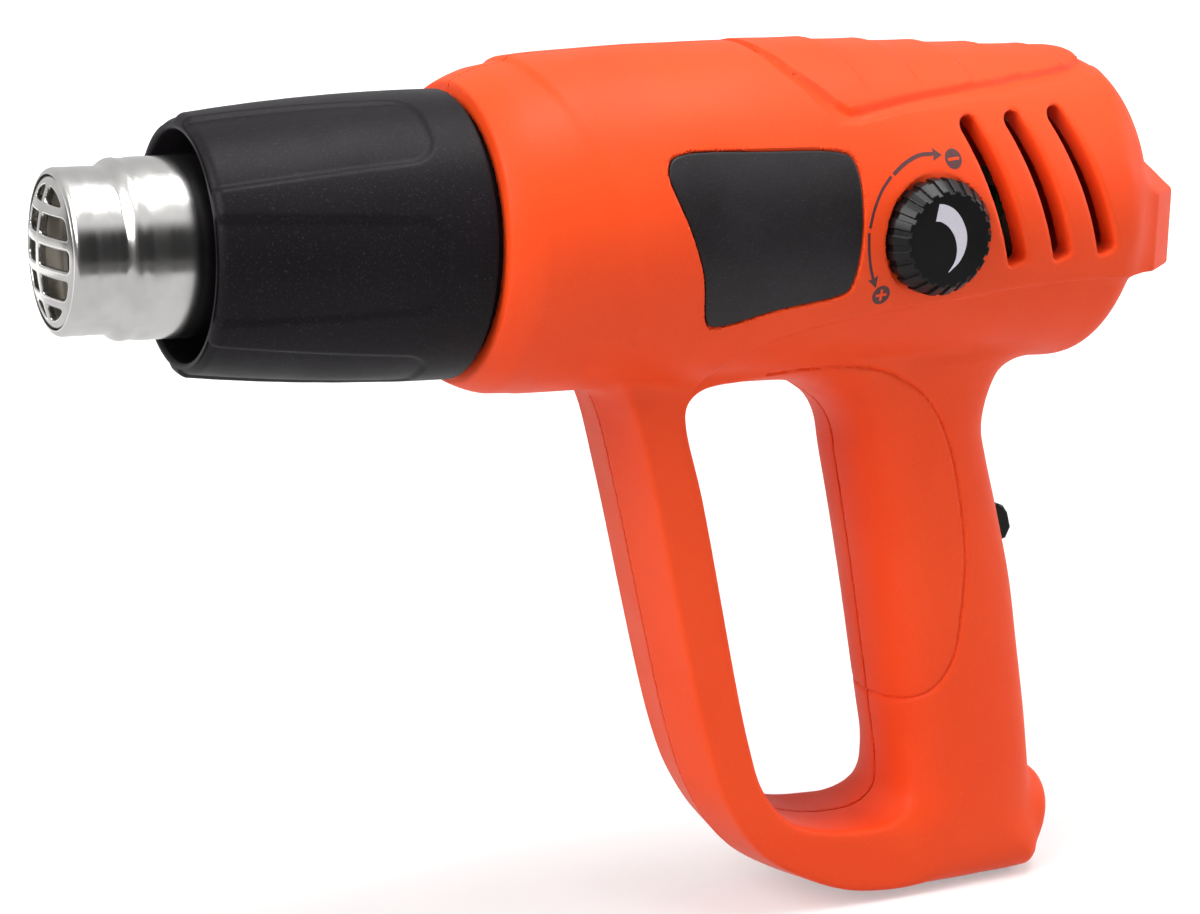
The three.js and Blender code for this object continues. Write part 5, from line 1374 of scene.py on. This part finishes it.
make_screws()
make_coil()

# Stage: floor, world, cards and lamps

SEEN_RAYS = ("Is Camera Ray", "Is Glossy Ray", "Is Transmission Ray")
FLOOR_GLOW, WORLD_LIGHT = 0.38, 0.29
FLOOR_COLOUR, FLOOR_REACH, FLOOR_HEIGHT = (0.62, 0.62, 0.62, 1), 3.0, -0.0004
GLOW_START, GLOW_END = 0.3, 1.1


def combined(tree, operation, a, b):
    """The sum or the product of two values, held between 0 and 1."""
    made = tree.nodes.new("ShaderNodeMath")
    made.operation, made.use_clamp = operation, True
    tree.links.new(a, made.inputs[0])
    tree.links.new(b, made.inputs[1])
    return made.outputs["Value"]


def seen_only(tree):
    """1 for rays from the camera or by way of metal and glass, 0 for light on other things."""
    paths = tree.nodes.new("ShaderNodeLightPath")
    total = paths.outputs[SEEN_RAYS[0]]
    for ray in SEEN_RAYS[1:]:
        total = combined(tree, "ADD", total, paths.outputs[ray])
    return total


def stage_plane(name, corners, material):
    mesh = bpy.data.meshes.new(name)
    mesh.from_pydata(corners, [], [(0, 1, 2, 3)])
    mesh.materials.append(material)
    made = bpy.data.objects.new(name, mesh)
    bpy.context.collection.objects.link(made)
    return made


def level(z, near, far, half):
    """Corners of a level plane that faces up."""
    return [(-half, near, z), (half, near, z), (half, far, z), (-half, far, z)]


def upright(y, low, high, half):
    """Corners of an upright plane across the view."""
    return [(-half, y, low), (half, y, low), (half, y, high), (-half, y, high)]


def make_floor():
    material = bpy.data.materials.new("pale_floor")
    material.use_nodes = True
    tree = material.node_tree
    shader = tree.nodes["Principled BSDF"]
    shader.inputs["Base Color"].default_value = FLOOR_COLOUR
    shader.inputs["Roughness"].default_value = 0.9
    shader.inputs["Specular IOR Level"].default_value = 0.1
    shader.inputs["Emission Color"].default_value = (1, 1, 1, 1)
    place = tree.nodes.new("ShaderNodeTexCoord")
    away = tree.nodes.new("ShaderNodeVectorMath")
    away.operation = "LENGTH"
    tree.links.new(place.outputs["Object"], away.inputs[0])
    glow = spread(tree, away.outputs["Value"], GLOW_START, GLOW_END, FLOOR_GLOW, 1, "LINEAR")
    seen = combined(tree, "MULTIPLY", glow, seen_only(tree))
    tree.links.new(seen, shader.inputs["Emission Strength"])
    stage_plane("studio_floor", level(FLOOR_HEIGHT, -FLOOR_REACH, FLOOR_REACH, FLOOR_REACH), material)


def make_world():
    world = bpy.data.worlds.new("studio")
    bpy.context.scene.world = world
    world.use_nodes = True
    tree = world.node_tree
    ground = tree.nodes["Background"]
    ground.inputs["Color"].default_value = (1, 1, 1, 1)
    light = spread(tree, seen_only(tree), 0, 1, WORLD_LIGHT, 1, "LINEAR")
    tree.links.new(light, ground.inputs["Strength"])


def studio_card(name, corners, low, high, start, end):
    """A card that only metal and gloss show; its brightness rises from low to high with height."""
    material = bpy.data.materials.new(name)
    material.use_nodes = True
    tree = material.node_tree
    tree.nodes.remove(tree.nodes["Principled BSDF"])
    glow = tree.nodes.new("ShaderNodeEmission")
    place = tree.nodes.new("ShaderNodeTexCoord")
    parts = tree.nodes.new("ShaderNodeSeparateXYZ")
    tree.links.new(place.outputs["Object"], parts.inputs["Vector"])
    rise = spread(tree, parts.outputs["Z"], start, end, low, high)
    tree.links.new(rise, glow.inputs["Strength"])
    tree.links.new(glow.outputs["Emission"], tree.nodes["Material Output"].inputs["Surface"])
    card = stage_plane(name, corners, material)
    card.visible_camera = card.visible_diffuse = card.visible_shadow = card.visible_transmission = False


def lamp(name, place, aim, size, watts):
    data = bpy.data.lights.new(name, "AREA")
    data.shape = "RECTANGLE"
    data.size, data.size_y = size
    data.energy = watts
    made = bpy.data.objects.new(name, data)
    made.location = place
    made.rotation_euler = (Vector(aim) - Vector(place)).to_track_quat("-Z", "Y").to_euler()
    bpy.context.collection.objects.link(made)


# Cards: name, corners, brightness below and above, and the heights that it rises between
CARDS = [
    ("dark_flag", upright(-1.2, -0.3, 1.7, 2.5), 0.04, 1.0, 0.78, 1.4),
    ("low_flag", level(0.001, -1.2, -0.38, 2.5), 0.14, 0.14, 0, 1),
    ("under_flag", level(0.001, -0.38, 0.5, 1.5), 0.85, 0.85, 0, 1),
    ("left_flag", [(-1.7, 1.2, -0.3), (-1.7, -1.2, -0.3), (-1.7, -1.2, 1.0), (-1.7, 1.2, 1.0)],
     0.12, 0.7, 0.5, 1.0),
    ("grey_flag", upright(1.4, -0.3, 3.2, 2.5), 0.7, 0.8, 0, 3),
]

# Lamps: name, place, what it is aimed at, size and power in watts
LAMPS = [
    ("softbox_left", (-1.1, -0.3, 0.85), (-0.05, 0, 0.12), (0.8, 0.8), 15.5),
    ("softbox_top", (0.1, -0.15, 1.35), (0, 0, 0.1), (1.0, 0.6), 14.5),
    ("softbox_right", (1.1, -0.35, 0.6), (0, 0, 0.1), (0.6, 0.6), 6.5),
]

make_floor()
make_world()
for card in CARDS:
    studio_card(*card)
for light in LAMPS:
    lamp(*light)
bpy.context.scene.view_settings.view_transform = "Standard"

for node, piece in frame["nodes"].items():
    if not piece.hide_render:
        row = next((r for r in frame["record"]["subparts"] if r["node"] == node), None)
        if row:
            piece.data.materials.clear()
            piece.data.materials.append(MATERIALS[row["material_slot"]])
